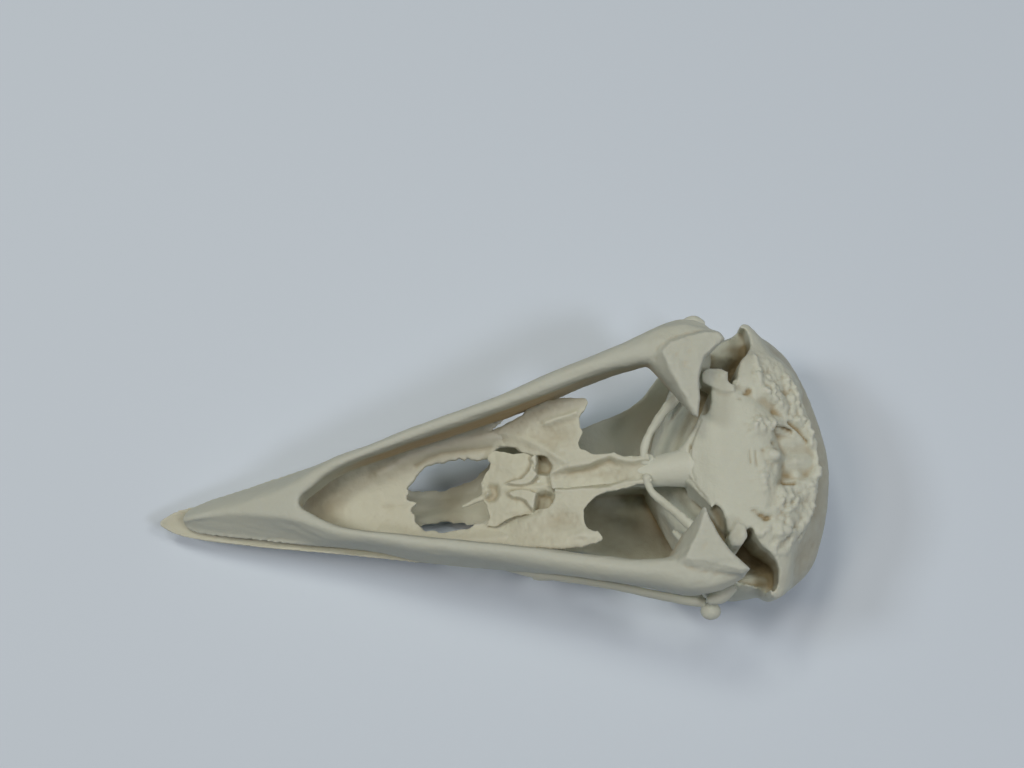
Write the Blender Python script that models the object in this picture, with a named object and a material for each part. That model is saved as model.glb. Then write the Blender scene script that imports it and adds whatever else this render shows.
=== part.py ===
# Raven skull lying upside down on its crown and bill ridge, with the lower jaw in place.
# X runs from the bill tip back to the occiput, +Y is the animal's left, +Z is up, which
# is the palate side of the skull. The origin is under the middle of the skull.
# Every length below is in millimetres; "s" is the distance back from the bill tip.

import math

import bmesh
import bpy
import numpy as np
from mathutils import Matrix, Vector

MM = 0.001
LENGTH = 111.6
GAP = 0.3

# The gape line, along which the two jaws meet, rises from the bill tip to the jaw joint.
GAPE_START = 5.3
GAPE_RISE = 0.228

HINGE = 63.4
WALL = 1.4
PLATE = 1.0
CASE_POINTS = 30

BONE = (0.66, 0.62, 0.50)
BONE_DARK = (0.56, 0.51, 0.39)


# Smooth curves through a few named stations

def through(*stations):
    """A smooth curve through (s, value) stations, as a function of s."""
    xs = np.array([p[0] for p in stations], dtype=float)
    ys = np.array([p[1] for p in stations], dtype=float)
    steps = np.diff(ys) / np.diff(xs)
    slopes = np.empty(len(xs))
    slopes[0], slopes[-1] = steps[0], steps[-1]
    product = steps[:-1] * steps[1:]
    slopes[1:-1] = np.where(product > 0, 2 * product / (steps[:-1] + steps[1:] + 1e-12), 0.0)

    def value(s):
        s = min(max(s, xs[0]), xs[-1])
        i = min(int(np.searchsorted(xs, s, side="right")) - 1, len(xs) - 2)
        h = xs[i + 1] - xs[i]
        t = (s - xs[i]) / h
        return float(
            ys[i] * (1 + 2 * t) * (1 - t) ** 2
            + h * slopes[i] * t * (1 - t) ** 2
            + ys[i + 1] * t * t * (3 - 2 * t)
            + h * slopes[i + 1] * t * t * (t - 1)
        )

    return value


def gape(s):
    return GAPE_START + GAPE_RISE * s


def bill_edge(s):
    """Height of the upper bill's cutting edge, which hooks over the lower tip."""
    return gape(s) + 0.9 * max(1.0 - s / 3.0, 0.0) ** 2


# Upper jaw: half width at its cutting edge, and the height of the bill ridge
BILL_WIDTH = through((0, 0.5), (0.6, 1.3), (1.6, 1.9), (4, 2.4), (8.5, 3.6), (14.6, 4.9), (21, 6.2),
                     (30, 8.0), (36, 9.3), (47, 12.0), (53, 13.2), (58, 14.0), (66, 14.8))
RIDGE = through((0, 5.5), (0.6, 4.7), (2, 3.8), (6, 2.4), (10, 1.4), (15, 0.7), (20, 0.3),
                (28, -0.12), (40, -0.12), (50, 0.6), (57, 1.9), (64, 3.2))
BILL_ROUNDNESS = through((0, 2.0), (12, 1.7), (30, 1.35), (45, 1.25), (55, 1.6), (62, 2.2))
PALATE_VAULT = through((0, 0.1), (8, 0.8), (20, 1.7), (40, 2.2), (60, 2.0))

# Outlines of the nostril, seen from the side (s, z), and of the palate's gap (s, y)
NOSTRIL = [(36.5, 6.9), (39, 4.9), (43, 3.6), (48, 3.1), (53, 3.7), (56, 5.3), (57.2, 8.0),
           (56.6, 11.0), (53.5, 12.5), (48.5, 12.1), (43.0, 10.5), (39, 8.8)]
PALATE_GAP = [(41.8, 0.4), (42.3, 2.4), (43.9, 4.2), (46.4, 5.1), (49.2, 5.5), (52.5, 5.3), (55.3, 4.8),
              (56.5, 4.4), (56.5, -4.4), (55.2, -5.6), (52.2, -6.3), (47.4, -6.3), (44.8, -5.5),
              (43.2, -3.8), (42.2, -1.6)]

# Lower jaw: its depth below the gape, its outer and inner walls
JAW_DEPTH = through((3, 1.5), (6, 3.1), (10, 4.2), (20, 6.0), (30, 7.2), (45, 8.6), (60, 9.6),
                    (75, 10.4), (90, 10.8))
JAW_KEEL_WIDTH = through((3, 1.0), (4.2, 1.6), (8.7, 2.8), (15, 4.0), (21, 5.1), (30, 6.8), (36, 7.9),
                         (41, 9.2), (45, 10.2), (50, 11.3), (58, 13.0), (66, 14.9), (74, 17.2),
                         (81, 19.1), (85, 20.5), (90, 21.0))
JAW_EDGE_WIDTH = through((3, 1.1), (4.2, 1.7), (8.7, 3.0), (15, 4.3), (21, 5.6), (30, 7.3), (36, 8.5),
                         (41, 9.8), (47, 11.3), (52, 12.2), (58.8, 13.2), (66, 14.6), (70, 15.4),
                         (74, 16.8), (81, 18.9), (86, 20.1), (90, 20.7))
JAW_INNER = through((3, -0.5), (24.5, -0.5), (26.2, 0.3), (27.3, 2.1), (30.4, 3.7), (35.5, 5.4),
                    (40.5, 6.8), (45, 7.8), (50, 8.8), (57, 10.3), (65, 12.1), (72, 14.0),
                    (77, 15.1), (82, 15.6), (90, 15.6))
JAW_UPPER_EDGE = through((3, GAP), (56, GAP), (70, -1.2), (78, 0.6), (84, 4.0), (88, 7.3))

# Skull roof: half width of the forehead between the orbits, crown height, and its arch
ROOF_WIDTH = through((63.7, 9.6), (68, 10.2), (71.7, 10.9), (75.6, 12.2), (79.4, 13.4), (83.2, 15.6),
                     (85.4, 18.2), (88, 19.9), (92, 20.6))
CROWN = through((63.7, 3.3), (68, 3.1), (72, 2.3), (76, 1.3), (80, 0.5), (84, 0.0), (88, -0.22),
                (95, -0.22), (98, 0.2), (101.5, 1.5), (104.3, 3.3), (107, 6.0), (108.6, 8.2),
                (109.9, 10.5), (110.9, 12.6), (111.6, 14.6))
ROOF_ARCH = through((63.7, 2.8), (72, 4.0), (76, 4.9), (80, 5.8), (84, 7.2), (88, 9.7), (92, 11.0))

# Braincase: half width and the height of its underside
CASE_WIDTH = through((82.5, 2.5), (84, 7.5), (86, 12.5), (88, 16.5), (90, 19.2), (93, 20.9),
                     (97, 21.8), (101, 22.2), (104.2, 20.7), (106.8, 18.1), (108.4, 14.8),
                     (109.8, 10.6), (110.8, 6.6), (111.6, 1.4))
CASE_FLOOR = through((82.5, 13.5), (85, 17.0), (88, 20.0), (91, 23.0), (95, 26.5), (98, 28.4),
                     (101, 28.2), (104.3, 25.6), (107, 22.7), (108.6, 20.9), (109.9, 19.2),
                     (110.9, 17.6), (111.6, 15.8))
CASE_MIDDLE = through((82.5, 10.0), (90, 13.0), (98, 14.5), (111.6, 15.2))


# Placing and building

def at(s, y, z):
    """The point (s, y, z) in millimetres as a place in the model, in metres."""
    return Vector(((s - LENGTH / 2) * MM, y * MM, z * MM))


def clear_scene():
    for obj in list(bpy.data.objects):
        bpy.data.objects.remove(obj, do_unlink=True)
    for collection in list(bpy.data.collections):
        bpy.data.collections.remove(collection)


def new_collection(name):
    collection = bpy.data.collections.new(name)
    bpy.context.scene.collection.children.link(collection)
    return collection


def bone_material(name, colour, roughness):
    material = bpy.data.materials.new(name)
    material.use_nodes = True
    shader = material.node_tree.nodes["Principled BSDF"]
    shader.inputs["Base Color"].default_value = (*colour, 1.0)
    shader.inputs["Roughness"].default_value = roughness
    shader.inputs["Metallic"].default_value = 0.0
    return material


def mesh_object(name, bm):
    bmesh.ops.recalc_face_normals(bm, faces=bm.faces)
    mesh = bpy.data.meshes.new(name)
    bm.to_mesh(mesh)
    bm.free()
    obj = bpy.data.objects.new(name, mesh)
    WORKSHOP.objects.link(obj)
    return obj


def loft(name, rings):
    """A closed skin over rings of places that all have the same number of points."""
    bm = bmesh.new()
    loops = [[bm.verts.new(at(*point)) for point in ring] for ring in rings]
    count = len(loops[0])
    for ring_a, ring_b in zip(loops, loops[1:]):
        for i in range(count):
            j = (i + 1) % count
            bm.faces.new((ring_a[i], ring_a[j], ring_b[j], ring_b[i]))
    bm.faces.new(loops[0])
    bm.faces.new(reversed(loops[-1]))
    bmesh.ops.triangulate(bm, faces=bm.faces)
    return mesh_object(name, bm)


def mesh_from_curve(name, curve):
    """The curve's evaluated shape as a mesh object with welded caps."""
    obj = bpy.data.objects.new(name, curve)
    WORKSHOP.objects.link(obj)
    bpy.context.view_layer.update()
    mesh = bpy.data.meshes.new_from_object(obj.evaluated_get(bpy.context.evaluated_depsgraph_get()))
    bpy.data.objects.remove(obj, do_unlink=True)
    bm = bmesh.new()
    bm.from_mesh(mesh)
    bmesh.ops.remove_doubles(bm, verts=bm.verts, dist=0.00001)
    bmesh.ops.triangulate(bm, faces=bm.faces)
    return mesh_object(name, bm)


def rod(name, path, radii, resolution=2):
    """A round rod along the path, with its own radius at each point."""
    curve = bpy.data.curves.new(name, "CURVE")
    curve.dimensions = "3D"
    curve.bevel_depth = MM
    curve.bevel_resolution = resolution
    curve.use_fill_caps = True
    spline = curve.splines.new("POLY")
    spline.points.add(len(path) - 1)
    for point, place, radius in zip(spline.points, path, radii):
        point.co = (*at(*place), 1.0)
        point.radius = radius
    return mesh_from_curve(name, curve)


def slab(name, outline, thickness, height):
    """A thin plate with the given (s, y) outline, its middle at height(s, y)."""
    curve = bpy.data.curves.new(name, "CURVE")
    curve.dimensions = "2D"
    curve.fill_mode = "BOTH"
    curve.extrude = 0.5 * thickness * MM
    spline = curve.splines.new("POLY")
    spline.use_cyclic_u = True
    spline.points.add(len(outline) - 1)
    for point, (s, y) in zip(spline.points, outline):
        place = at(s, y, 0.0)
        point.co = (place.x, place.y, 0.0, 1.0)
    obj = mesh_from_curve(name, curve)
    for vertex in obj.data.vertices:
        s = vertex.co.x / MM + LENGTH / 2
        vertex.co.z += height(s, vertex.co.y / MM) * MM
    return obj


def upright_slab(name, outline, thickness, y):
    """A thin plate that stands along the skull at y, with an (s, z) outline."""
    obj = slab(name, outline, thickness, lambda s, side: 0.0)
    for vertex in obj.data.vertices:
        x, old_y, old_z = vertex.co
        vertex.co = (x, y * MM - old_z, old_y)
    return obj


def ball(name, centre, radii, lean=0.0, segments=14, rings=8):
    """An ellipsoid, leaned about Y by the given degrees."""
    bm = bmesh.new()
    shape = Matrix.Translation(at(*centre)) @ Matrix.Rotation(math.radians(lean), 4, "Y")
    shape = shape @ Matrix.Diagonal((*(r * MM for r in radii), 1.0))
    bmesh.ops.create_uvsphere(bm, u_segments=segments, v_segments=rings, radius=1.0, matrix=shape)
    bmesh.ops.triangulate(bm, faces=bm.faces)
    return mesh_object(name, bm)


def block(name, low, high):
    """A box between two corners."""
    low, high = at(*low), at(*high)
    bm = bmesh.new()
    shape = Matrix.Translation((low + high) / 2) @ Matrix.Diagonal((*(high - low), 1.0))
    bmesh.ops.create_cube(bm, size=1.0, matrix=shape)
    return mesh_object(name, bm)


# Joining and cutting

def combine(obj, others, operation):
    """Apply one Boolean of obj with all the others, which are then removed."""
    group = bpy.data.collections.new("operands")
    bpy.context.scene.collection.children.link(group)
    for other in others:
        other.hide_render = True
        other.display_type = "WIRE"
        group.objects.link(other)
    modifier = obj.modifiers.new(operation.lower(), "BOOLEAN")
    modifier.operation = operation
    modifier.solver = "EXACT"
    modifier.operand_type = "COLLECTION"
    modifier.collection = group
    bpy.context.view_layer.update()
    mesh = bpy.data.meshes.new_from_object(obj.evaluated_get(bpy.context.evaluated_depsgraph_get()))
    obj.modifiers.clear()
    obj.data = mesh
    for other in others:
        bpy.data.objects.remove(other, do_unlink=True)
    bpy.data.collections.remove(group)
    return obj


def fuse(name, pieces):
    body = combine(pieces[0], pieces[1:], "UNION")
    body.name = name
    return body


def cut(body, cutters):
    return combine(body, cutters, "DIFFERENCE")


def keep_largest(obj):
    """Keep only the largest closed surface of the mesh."""
    bm = bmesh.new()
    bm.from_mesh(obj.data)
    bmesh.ops.remove_doubles(bm, verts=bm.verts, dist=0.000005)
    bmesh.ops.dissolve_degenerate(bm, edges=bm.edges, dist=0.000005)
    bmesh.ops.triangulate(bm, faces=bm.faces)
    remaining = set(bm.verts)
    shells = []
    while remaining:
        stack = [remaining.pop()]
        shell = set(stack)
        while stack:
            for edge in stack.pop().link_edges:
                for vertex in edge.verts:
                    if vertex in remaining:
                        remaining.discard(vertex)
                        shell.add(vertex)
                        stack.append(vertex)
        shells.append(shell)
    shells.sort(key=extent, reverse=True)
    for shell in shells[1:]:
        bmesh.ops.delete(bm, geom=list(shell), context="VERTS")
    bm.to_mesh(obj.data)
    bm.free()


def extent(shell):
    xs = [vertex.co.x for vertex in shell]
    return max(xs) - min(xs)


def finish(name, obj, material):
    """Close up a finished bone and put it in the skull's collection."""
    keep_largest(obj)
    obj.name = name
    obj.data.materials.clear()
    obj.data.materials.append(material)
    obj.data.shade_smooth()
    obj.data.set_sharp_from_angle(angle=math.radians(40))
    WORKSHOP.objects.unlink(obj)
    SKULL.objects.link(obj)
    return obj


def stations(first, last, step):
    count = max(2, round((last - first) / step) + 1)
    return np.linspace(first, last, count)


# Lower jaw

def ramus_ring(s, side):
    """Section of one side of the lower jaw: a wall with a rounded keel above."""
    edge = gape(s) + JAW_UPPER_EDGE(s)
    keel = gape(s) + JAW_DEPTH(s)
    outer, inner = JAW_KEEL_WIDTH(s), JAW_INNER(s)
    open_part = min(max((s - 24.0) / 8.0, 0.0), 1.0)
    crest = inner + (outer - inner) * 0.45 * open_part
    drop_out = 0.42 * (keel - edge) + 0.4
    drop_in = 1.2 * open_part
    foot_out = JAW_EDGE_WIDTH(s)
    foot_in = inner if s < 25 else min(inner + 0.8 * min(max((s - 60.0) / 12.0, 0.0), 1.0), foot_out - 1.7)
    ring = [(foot_out, edge)]
    for t in (0.0, 0.3, 0.6, 0.85):
        a = t * math.pi / 2
        ring.append((crest + (outer - crest) * math.cos(a), keel - drop_out * (1 - math.sin(a))))
    ring.append((crest, keel))
    ring.append((inner + (crest - inner) * 0.35, keel - drop_in * 0.2))
    ring.append((inner, keel - drop_in))
    ring.append((foot_in, edge))
    return [(s, side * y, z) for y, z in ring]


def articular_block(side):
    """The thick joint end of the jaw: flat above, with a medial and a rear point."""
    levels = [
        (27.6, [(82.5, 16.8), (84, 15.0), (86.5, 13.4), (88.6, 12.4), (90, 13.4), (91, 15),
                (92, 17.5), (91.6, 19), (90, 20.2), (87, 20.3), (84, 19.6), (82, 18.8)]),
        (29.6, [(81, 16.4), (83, 14.2), (86, 11.6), (88.8, 8.6), (90.3, 11.5), (91.5, 14),
                (93, 17.5), (92.6, 19.6), (90, 21.0), (86.5, 20.9), (83, 20.0), (80.5, 18.9)]),
        (32.0, [(81, 15.8), (83.2, 13.2), (85.8, 9.6), (88.4, 6.4), (90.2, 10.8), (91.6, 14),
                (94, 17.6), (93.6, 19.0), (90, 21.0), (86.5, 20.8), (83, 19.8), (80.5, 18.6)]),
        (34.6, [(82.5, 16.2), (84.6, 13.2), (86.6, 9.8), (88.3, 6.3), (90.0, 11.2), (91.6, 14.6),
                (94.3, 17.8), (94.1, 18.8), (90.3, 20.0), (86.8, 19.4), (84, 18.4), (82, 17.6)]),
        (35.9, [(84.2, 16.2), (85.6, 13.6), (87.0, 10.2), (88.2, 7.2), (89.6, 11.4), (91.3, 14.8),
                (93.6, 17.6), (93.4, 18.2), (90.3, 18.8), (87.2, 18.2), (85, 17.4), (84, 16.8)]),
    ]
    rings = [[(s, side * y, z) for s, y in outline] for z, outline in levels]
    return loft("joint end", rings)


def lower_jaw():
    pieces = []
    for side in (1, -1):
        rings = [ramus_ring(s, side) for s in stations(3.0, 88.0, 2.6)]
        pieces.append(loft("ramus", rings))
        pieces.append(articular_block(side))
    jaw = fuse("mandible", pieces)
    for side in (1, -1):
        slit = ball("slit", (79.0, side * 19.4, 27.6), (2.0, 1.2, 0.7), lean=-13)
        jaw = cut(jaw, [slit])
    return jaw


# Upper bill

def bill_ring(s, inset=0.0):
    """Section of the upper bill; inset gives the hollow inside its walls."""
    edge = bill_edge(s)
    width = BILL_WIDTH(s) - inset * 1.15
    top = edge - inset * 0.4
    low = RIDGE(s) + inset * 1.1
    power = BILL_ROUNDNESS(s)
    ring = []
    for k in range(-7, 8):
        y = width * math.copysign((abs(k) / 7.0) ** 0.85, k)
        rest = max(1.0 - (abs(y) / width) ** power, 0.0)
        ring.append((s, y, top - (top - low) * rest ** (1.0 / power)))
    depth = top - low
    lip = min(0.15, 0.05 * depth)
    vault = min(PALATE_VAULT(s) + inset * 0.75, 0.3 * depth)
    for t in (0.86, 0.6, 0.3, 0.0, -0.3, -0.6, -0.86):
        ring.append((s, t * width, top - lip - vault * (1.0 - t * t) ** 0.7))
    return ring


def upper_bill():
    rings = [bill_ring(s) for s in (0.0, 0.5, 1.2, 2.4, *stations(4.0, 66.0, 3.1))]
    bill = loft("upper bill", rings)
    hollow = loft("nasal hollow", [bill_ring(s, WALL) for s in stations(35.0, 70.0, 3.5)])
    nostrils = upright_slab("nostrils", NOSTRIL, 60.0, 0.0)
    palate_gap = loft("palate gap", [[(s, y, z) for s, y in PALATE_GAP] for z in (10.6, 22.0)])
    rear_slot = block("rear slot", (54.0, -4.9, 11.0), (72.0, 4.9, 24.0))
    back = block("back", (0.0, -40.0, -20.0), (30.0, 40.0, 40.0))
    lean = math.atan2(HINGE - 58.2, 18.5 - RIDGE(HINGE))
    turn = Matrix.Rotation(-lean, 4, "Y")
    hinge = at(HINGE, 0, RIDGE(HINGE))
    corner = at(0, 0, 0)
    back.data.transform(Matrix.Translation(hinge) @ turn @ Matrix.Translation(-corner))
    floor = block("floor", (-5.0, -40.0, -20.0), (LENGTH, 40.0, 0.0))
    return cut(bill, [hollow, nostrils, palate_gap, rear_slot, back, floor])


# Palate

def palatine(side):
    """A broad plate behind the palate with two rear points, and a crest beside the midline."""
    outline = [(58.4, 5.3), (58.0, 9.2), (61.0, 10.0), (64.0, 11.0), (66.8, 12.0), (69.5, 12.3),
               (71.6, 11.9), (73.0, 10.9), (72.5, 9.7), (71.3, 8.7), (70.6, 7.3), (70.8, 5.6),
               (71.7, 4.1), (73.2, 3.0), (73.0, 1.3), (68.0, 0.9), (66.8, 2.2), (66.2, 4.2),
               (64.4, 5.3)]
    plate = slab("palatine plate", [(s, side * y) for s, y in outline], PLATE,
                 lambda s, y: gape(s) + 1.6 + 0.5 * math.cos((abs(y) - 7.0) * 0.55))
    path = [(66.8, side * 1.7, 22.1), (70, side * 1.9, 23.2), (73, side * 2.1, 24.0),
            (76, side * 2.2, 24.6), (79, side * 2.0, 25.1), (81.0, side * 1.6, 25.4)]
    crest = rod("palatine crest", path, (0.6, 0.75, 0.85, 0.9, 0.85, 0.8))
    return fuse("palatine", [plate, crest])


def vomer():
    """The middle of the palate: a small plate, two comma-shaped processes and a front hook."""
    outline = [(56.2, -4.4), (56.6, -1.5), (55.4, 0.4), (56.4, 1.6), (57.0, 4.3), (61.5, 4.6),
               (63.4, 4.2), (64.2, 2.6), (66.0, 1.2), (66.0, -1.2), (64.2, -2.6), (63.4, -4.4),
               (60.0, -4.6)]
    plate = slab("vomer plate", outline, 1.3, lambda s, y: gape(s) - 0.4)
    pieces = [plate]
    for side in (1, -1):
        path = [(58.8, side * 0.9, 18.8), (60.6, side * 1.5, 20.0), (62.2, side * 1.4, 20.4),
                (63.5, side * 2.0, 20.3), (63.2, side * 3.6, 19.6)]
        pieces.append(rod("comma", path, (0.5, 0.75, 0.9, 0.85, 0.6)))
    hook = [(56.4, 0.4, 18.0), (56.8, -1.2, 18.6), (55.6, -2.3, 18.0), (53.6, -2.6, 17.0)]
    pieces.append(rod("hook", hook, (0.9, 0.7, 0.55, 0.4)))
    return fuse("vomer", pieces)


def jugal(side):
    """The thin cheek bar from the upper bill's corner to the quadrate."""
    path = [(58.9, 13.3, 18.0), (62, 14.9, 18.9), (66, 15.9, 19.9), (70.4, 16.9, 20.9),
            (75, 18.1, 22.0), (80, 19.8, 23.2), (84.4, 21.3, 24.2), (87.2, 22.0, 24.8)]
    radii = (1.0, 0.8, 0.72, 0.68, 0.68, 0.7, 0.75, 0.8)
    return rod("jugal", [(s, side * y, z) for s, y, z in path], radii)


def pterygoid(side):
    """A slim rod from the rear of the palate out to the quadrate."""
    path = [(81.1, 1.7, 24.9), (81.3, 3.2, 24.9), (82.2, 5.4, 25.0), (83.8, 7.7, 25.3),
            (85.6, 9.7, 25.8), (87.3, 11.2, 26.0)]
    radii = (0.95, 0.75, 0.62, 0.62, 0.68, 0.8)
    return rod("pterygoid", [(s, side * y, z) for s, y, z in path], radii)


def quadrate(side):
    """The block between braincase and lower jaw, with its condyles and two arms."""
    body = ball("body", (90.0, side * 17.4, 23.2), (2.7, 4.2, 5.0), lean=10)
    inner = ball("inner condyle", (89.3, side * 13.8, 26.2), (2.2, 2.3, 2.6))
    outer = ball("outer condyle", (90.8, side * 20.4, 25.2), (2.2, 1.7, 1.9))
    knob = ball("cheek knob", (88.7, side * 22.1, 24.8), (1.7, 1.6, 1.6))
    ear_arm = rod("ear arm", [(90.6, side * 17.6, 22), (92.4, side * 18.2, 18), (93.6, side * 18.6, 14)],
                  (2.4, 1.7, 1.5))
    eye_arm = rod("eye arm", [(89.6, side * 15.4, 22), (87.0, side * 12.2, 20.6), (84.6, side * 9.4, 19.4)],
                  (1.8, 1.0, 0.4))
    return fuse("quadrate", [body, inner, outer, knob, ear_arm, eye_arm])


def lacrimal(side):
    """The small bone in front of the orbit, from the forehead down to the cheek bar."""
    path = [(66.4, 9.4, 7.4), (66.6, 10.8, 10), (66.9, 12.0, 13.5), (67.2, 13.2, 17.6)]
    return rod("lacrimal", [(s, side * y, z) for s, y, z in path], (1.5, 1.0, 0.8, 1.1))


def rostrum():
    """The bar along the middle of the skull base, from the palate to the base plate."""
    path = [(64.0, 0, 19.6), (70, 0, 20.7), (76, 0, 21.7), (80, 0, 22.3), (84, 0, 22.8), (87.6, 0, 23.2)]
    return rod("rostrum", path, (0.8, 1.1, 1.5, 1.9, 2.2, 2.4), resolution=3)


# Cranium

def roof_ring(s):
    """Section of the forehead: an arched plate, thin at the orbit's rim."""
    width, crown, arch = ROOF_WIDTH(s), CROWN(s), ROOF_ARCH(s)
    steps = [k / 7.0 for k in range(-7, 8)]
    lower = [(s, width * t, crown + arch * abs(t) ** 2.6) for t in steps]
    upper = [(s, 0.985 * width * t, crown + arch * abs(t) ** 2.6 + 1.0 + 1.0 * (1 - t * t))
             for t in reversed(steps)]
    return lower + upper


def case_ring(s):
    """Section of the braincase: a round vault below, a squarer base above."""
    width, low, high, middle = CASE_WIDTH(s), CROWN(s), CASE_FLOOR(s), CASE_MIDDLE(s)
    middle = min(max(middle, low + 1.0), high - 1.0)
    ring = []
    for k in range(CASE_POINTS):
        a = 2 * math.pi * k / CASE_POINTS
        across, along = math.cos(a), math.sin(a)
        half, power = (high - middle, 0.8) if along > 0 else (middle - low, 0.95)
        ring.append((s, width * math.copysign(abs(across) ** power, across),
                     middle + half * math.copysign(abs(along) ** power, along)))
    return ring


def base_plate():
    """The raised plate of the skull base, from the rostrum back to the condyle."""
    levels = [(20.0, 1.06), (27.6, 1.03), (29.0, 0.98), (29.7, 0.9)]
    outline = [(88.0, 2.2), (88.7, 5.2), (90.8, 8.4), (93.2, 11.0), (97.5, 12.4), (101.5, 11.5),
               (103.0, 6.0), (103.0, -6.0), (101.5, -11.5), (97.5, -12.4), (93.2, -11.0),
               (90.8, -8.4), (88.7, -5.2), (88.0, -2.2)]
    middle = 97.0
    rings = [[(middle + (s - middle) * scale, y * scale, z - 0.4 * max(s - 98.0, 0.0) * scale)
              for s, y in outline] for z, scale in levels]
    return loft("base plate", rings)


def cranium():
    roof = loft("roof", [roof_ring(s) for s in stations(HINGE + GAP, 92.0, 2.6)])
    case = loft("case", [case_ring(s) for s in (82.5, 83.2, *stations(84.5, 107.0, 2.5),
                                                108.3, 109.5, 110.5, 111.2, 111.6)])
    septum = upright_slab("septum", [(65, 4), (86, 2), (87, 19.9), (83, 19.9), (76, 19.3), (65, 18.1)],
                          PLATE, 0.0)
    pieces = [case, base_plate(), septum]
    for side in (1, -1):
        pieces.append(ball("side wall", (66.0, side * 5.0, 11.0), (0.9, 5.4, 8.2)))
        rim = [(97.6, side * 11.9, 27.4), (98.6, side * 14.9, 26.9), (100.9, side * 17.4, 25.7),
               (101.0, side * 19.8, 24.9), (99.9, side * 21.6, 24.1), (99.2, side * 22.1, 21.0),
               (98.0, side * 20.6, 15.5)]
        pieces.append(rod("ear rim", rim, (1.5, 1.4, 1.3, 1.2, 1.2, 1.4, 1.6)))
        pieces.append(ball("ear wing", (100.5, side * 18.8, 20.8), (1.9, 3.6, 5.8)))
        pieces.append(block("knob", (91.6, side * 12.9 - 1.3, 22.0), (94.6, side * 12.9 + 1.3, 29.0)))
        spur = [(90.5, side * 18.6, 9.0), (89.4, side * 20.0, 13.0), (88.4, side * 20.6, 16.5)]
        pieces.append(rod("eye spur", spur, (2.8, 1.8, 0.8)))
    pieces.append(ball("condyle", (100.6, -0.6, 27.1), (1.7, 2.4, 1.7)))
    body = fuse("cranium", pieces)
    hollows = []
    for side in (1, -1):
        hollows.append(ball("orbit", (76.6, side * 13.3, 13.4), (9.6, 11.6, 10.6), segments=24, rings=14))
        hollows.append(ball("ear hollow", (96.4, side * 16.8, 23.0), (3.4, 4.3, 8.0)))
        hollows.append(ball("front hollow", (91.2, side * 12.0, 22.5), (2.2, 3.4, 7.0)))
    hollows.append(ball("foramen", (104.2, 0.5, 26.6), (3.0, 4.6, 4.2), lean=38))
    hollows.append(ball("septum window", (79.0, 0.0, 12.6), (4.0, 3.0, 3.0)))
    body = fuse("cranium", [cut(body, hollows), roof])
    return cut(body, [block("floor", (-5.0, -40.0, -20.0), (LENGTH + 5.0, 40.0, 0.0))])


def keep_clear(body, neighbours):
    """Cut from body the space of its neighbours, grown by the gap between bones."""
    grown = []
    for other in neighbours:
        copy = other.copy()
        copy.data = other.data.copy()
        WORKSHOP.objects.link(copy)
        swell = copy.modifiers.new("swell", "DISPLACE")
        swell.mid_level = 0.0
        swell.strength = 1.15 * GAP * MM
        bpy.context.view_layer.update()
        mesh = bpy.data.meshes.new_from_object(copy.evaluated_get(bpy.context.evaluated_depsgraph_get()))
        copy.modifiers.clear()
        copy.data = mesh
        grown.append(copy)
    return cut(body, grown)


# The skull

clear_scene()
SKULL = new_collection("raven_skull")
WORKSHOP = new_collection("workshop")

light_bone = bone_material("bone", BONE, 0.55)
dark_bone = bone_material("deep_bone", BONE_DARK, 0.6)

skull_base = finish("cranium", cranium(), light_bone)
bill = finish("upper_bill", upper_bill(), light_bone)
jaw = finish("mandible", lower_jaw(), light_bone)
bar = finish("rostrum", keep_clear(rostrum(), [skull_base]), light_bone)
middle = finish("vomer", keep_clear(vomer(), [bar, bill]), light_bone)

for side, tag in ((1, "left"), (-1, "right")):
    wing = finish("palatine_" + tag, keep_clear(palatine(side), [bar, middle, bill]), light_bone)
    hammer = finish("quadrate_" + tag, keep_clear(quadrate(side), [skull_base, jaw]), light_bone)
    cheek = finish("jugal_" + tag, keep_clear(jugal(side), [hammer, bill, jaw]), light_bone)
    finish("pterygoid_" + tag, keep_clear(pterygoid(side), [wing, bar, hammer]), light_bone)
    finish("lacrimal_" + tag, keep_clear(lacrimal(side), [skull_base, cheek]), dark_bone)

bpy.data.collections.remove(WORKSHOP)
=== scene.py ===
# Raven skull lying upside down on its crown and bill ridge, palate and skull base facing up.
# Lengths are in millimetres: s runs back from the bill tip, y to the animal's left, z up.

import math

import bmesh
import bpy
import numpy as np
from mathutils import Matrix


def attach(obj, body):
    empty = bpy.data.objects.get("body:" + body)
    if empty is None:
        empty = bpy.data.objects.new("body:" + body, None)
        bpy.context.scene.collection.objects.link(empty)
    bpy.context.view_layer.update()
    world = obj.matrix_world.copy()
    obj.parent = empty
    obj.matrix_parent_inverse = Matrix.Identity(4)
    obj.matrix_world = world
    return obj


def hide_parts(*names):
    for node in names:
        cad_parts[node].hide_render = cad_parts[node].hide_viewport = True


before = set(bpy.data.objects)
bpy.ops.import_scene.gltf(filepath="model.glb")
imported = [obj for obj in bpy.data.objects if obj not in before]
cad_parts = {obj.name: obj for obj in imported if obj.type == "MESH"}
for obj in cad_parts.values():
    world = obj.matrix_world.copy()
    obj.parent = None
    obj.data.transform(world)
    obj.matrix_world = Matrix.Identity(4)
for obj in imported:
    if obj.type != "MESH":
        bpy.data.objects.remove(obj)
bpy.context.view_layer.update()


# The braincase and forehead
# One closed bone in the grown bird: a thin-walled round case, a flat plate under it where the
# spine and throat muscles held on, and the arched roof over both orbits.

# A millimetre in metres, half the skull's length, and where the forehead meets the upper bill
MM = 0.001
HALF_LENGTH = 55.8
BILL_HINGE = 63.4


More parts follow.
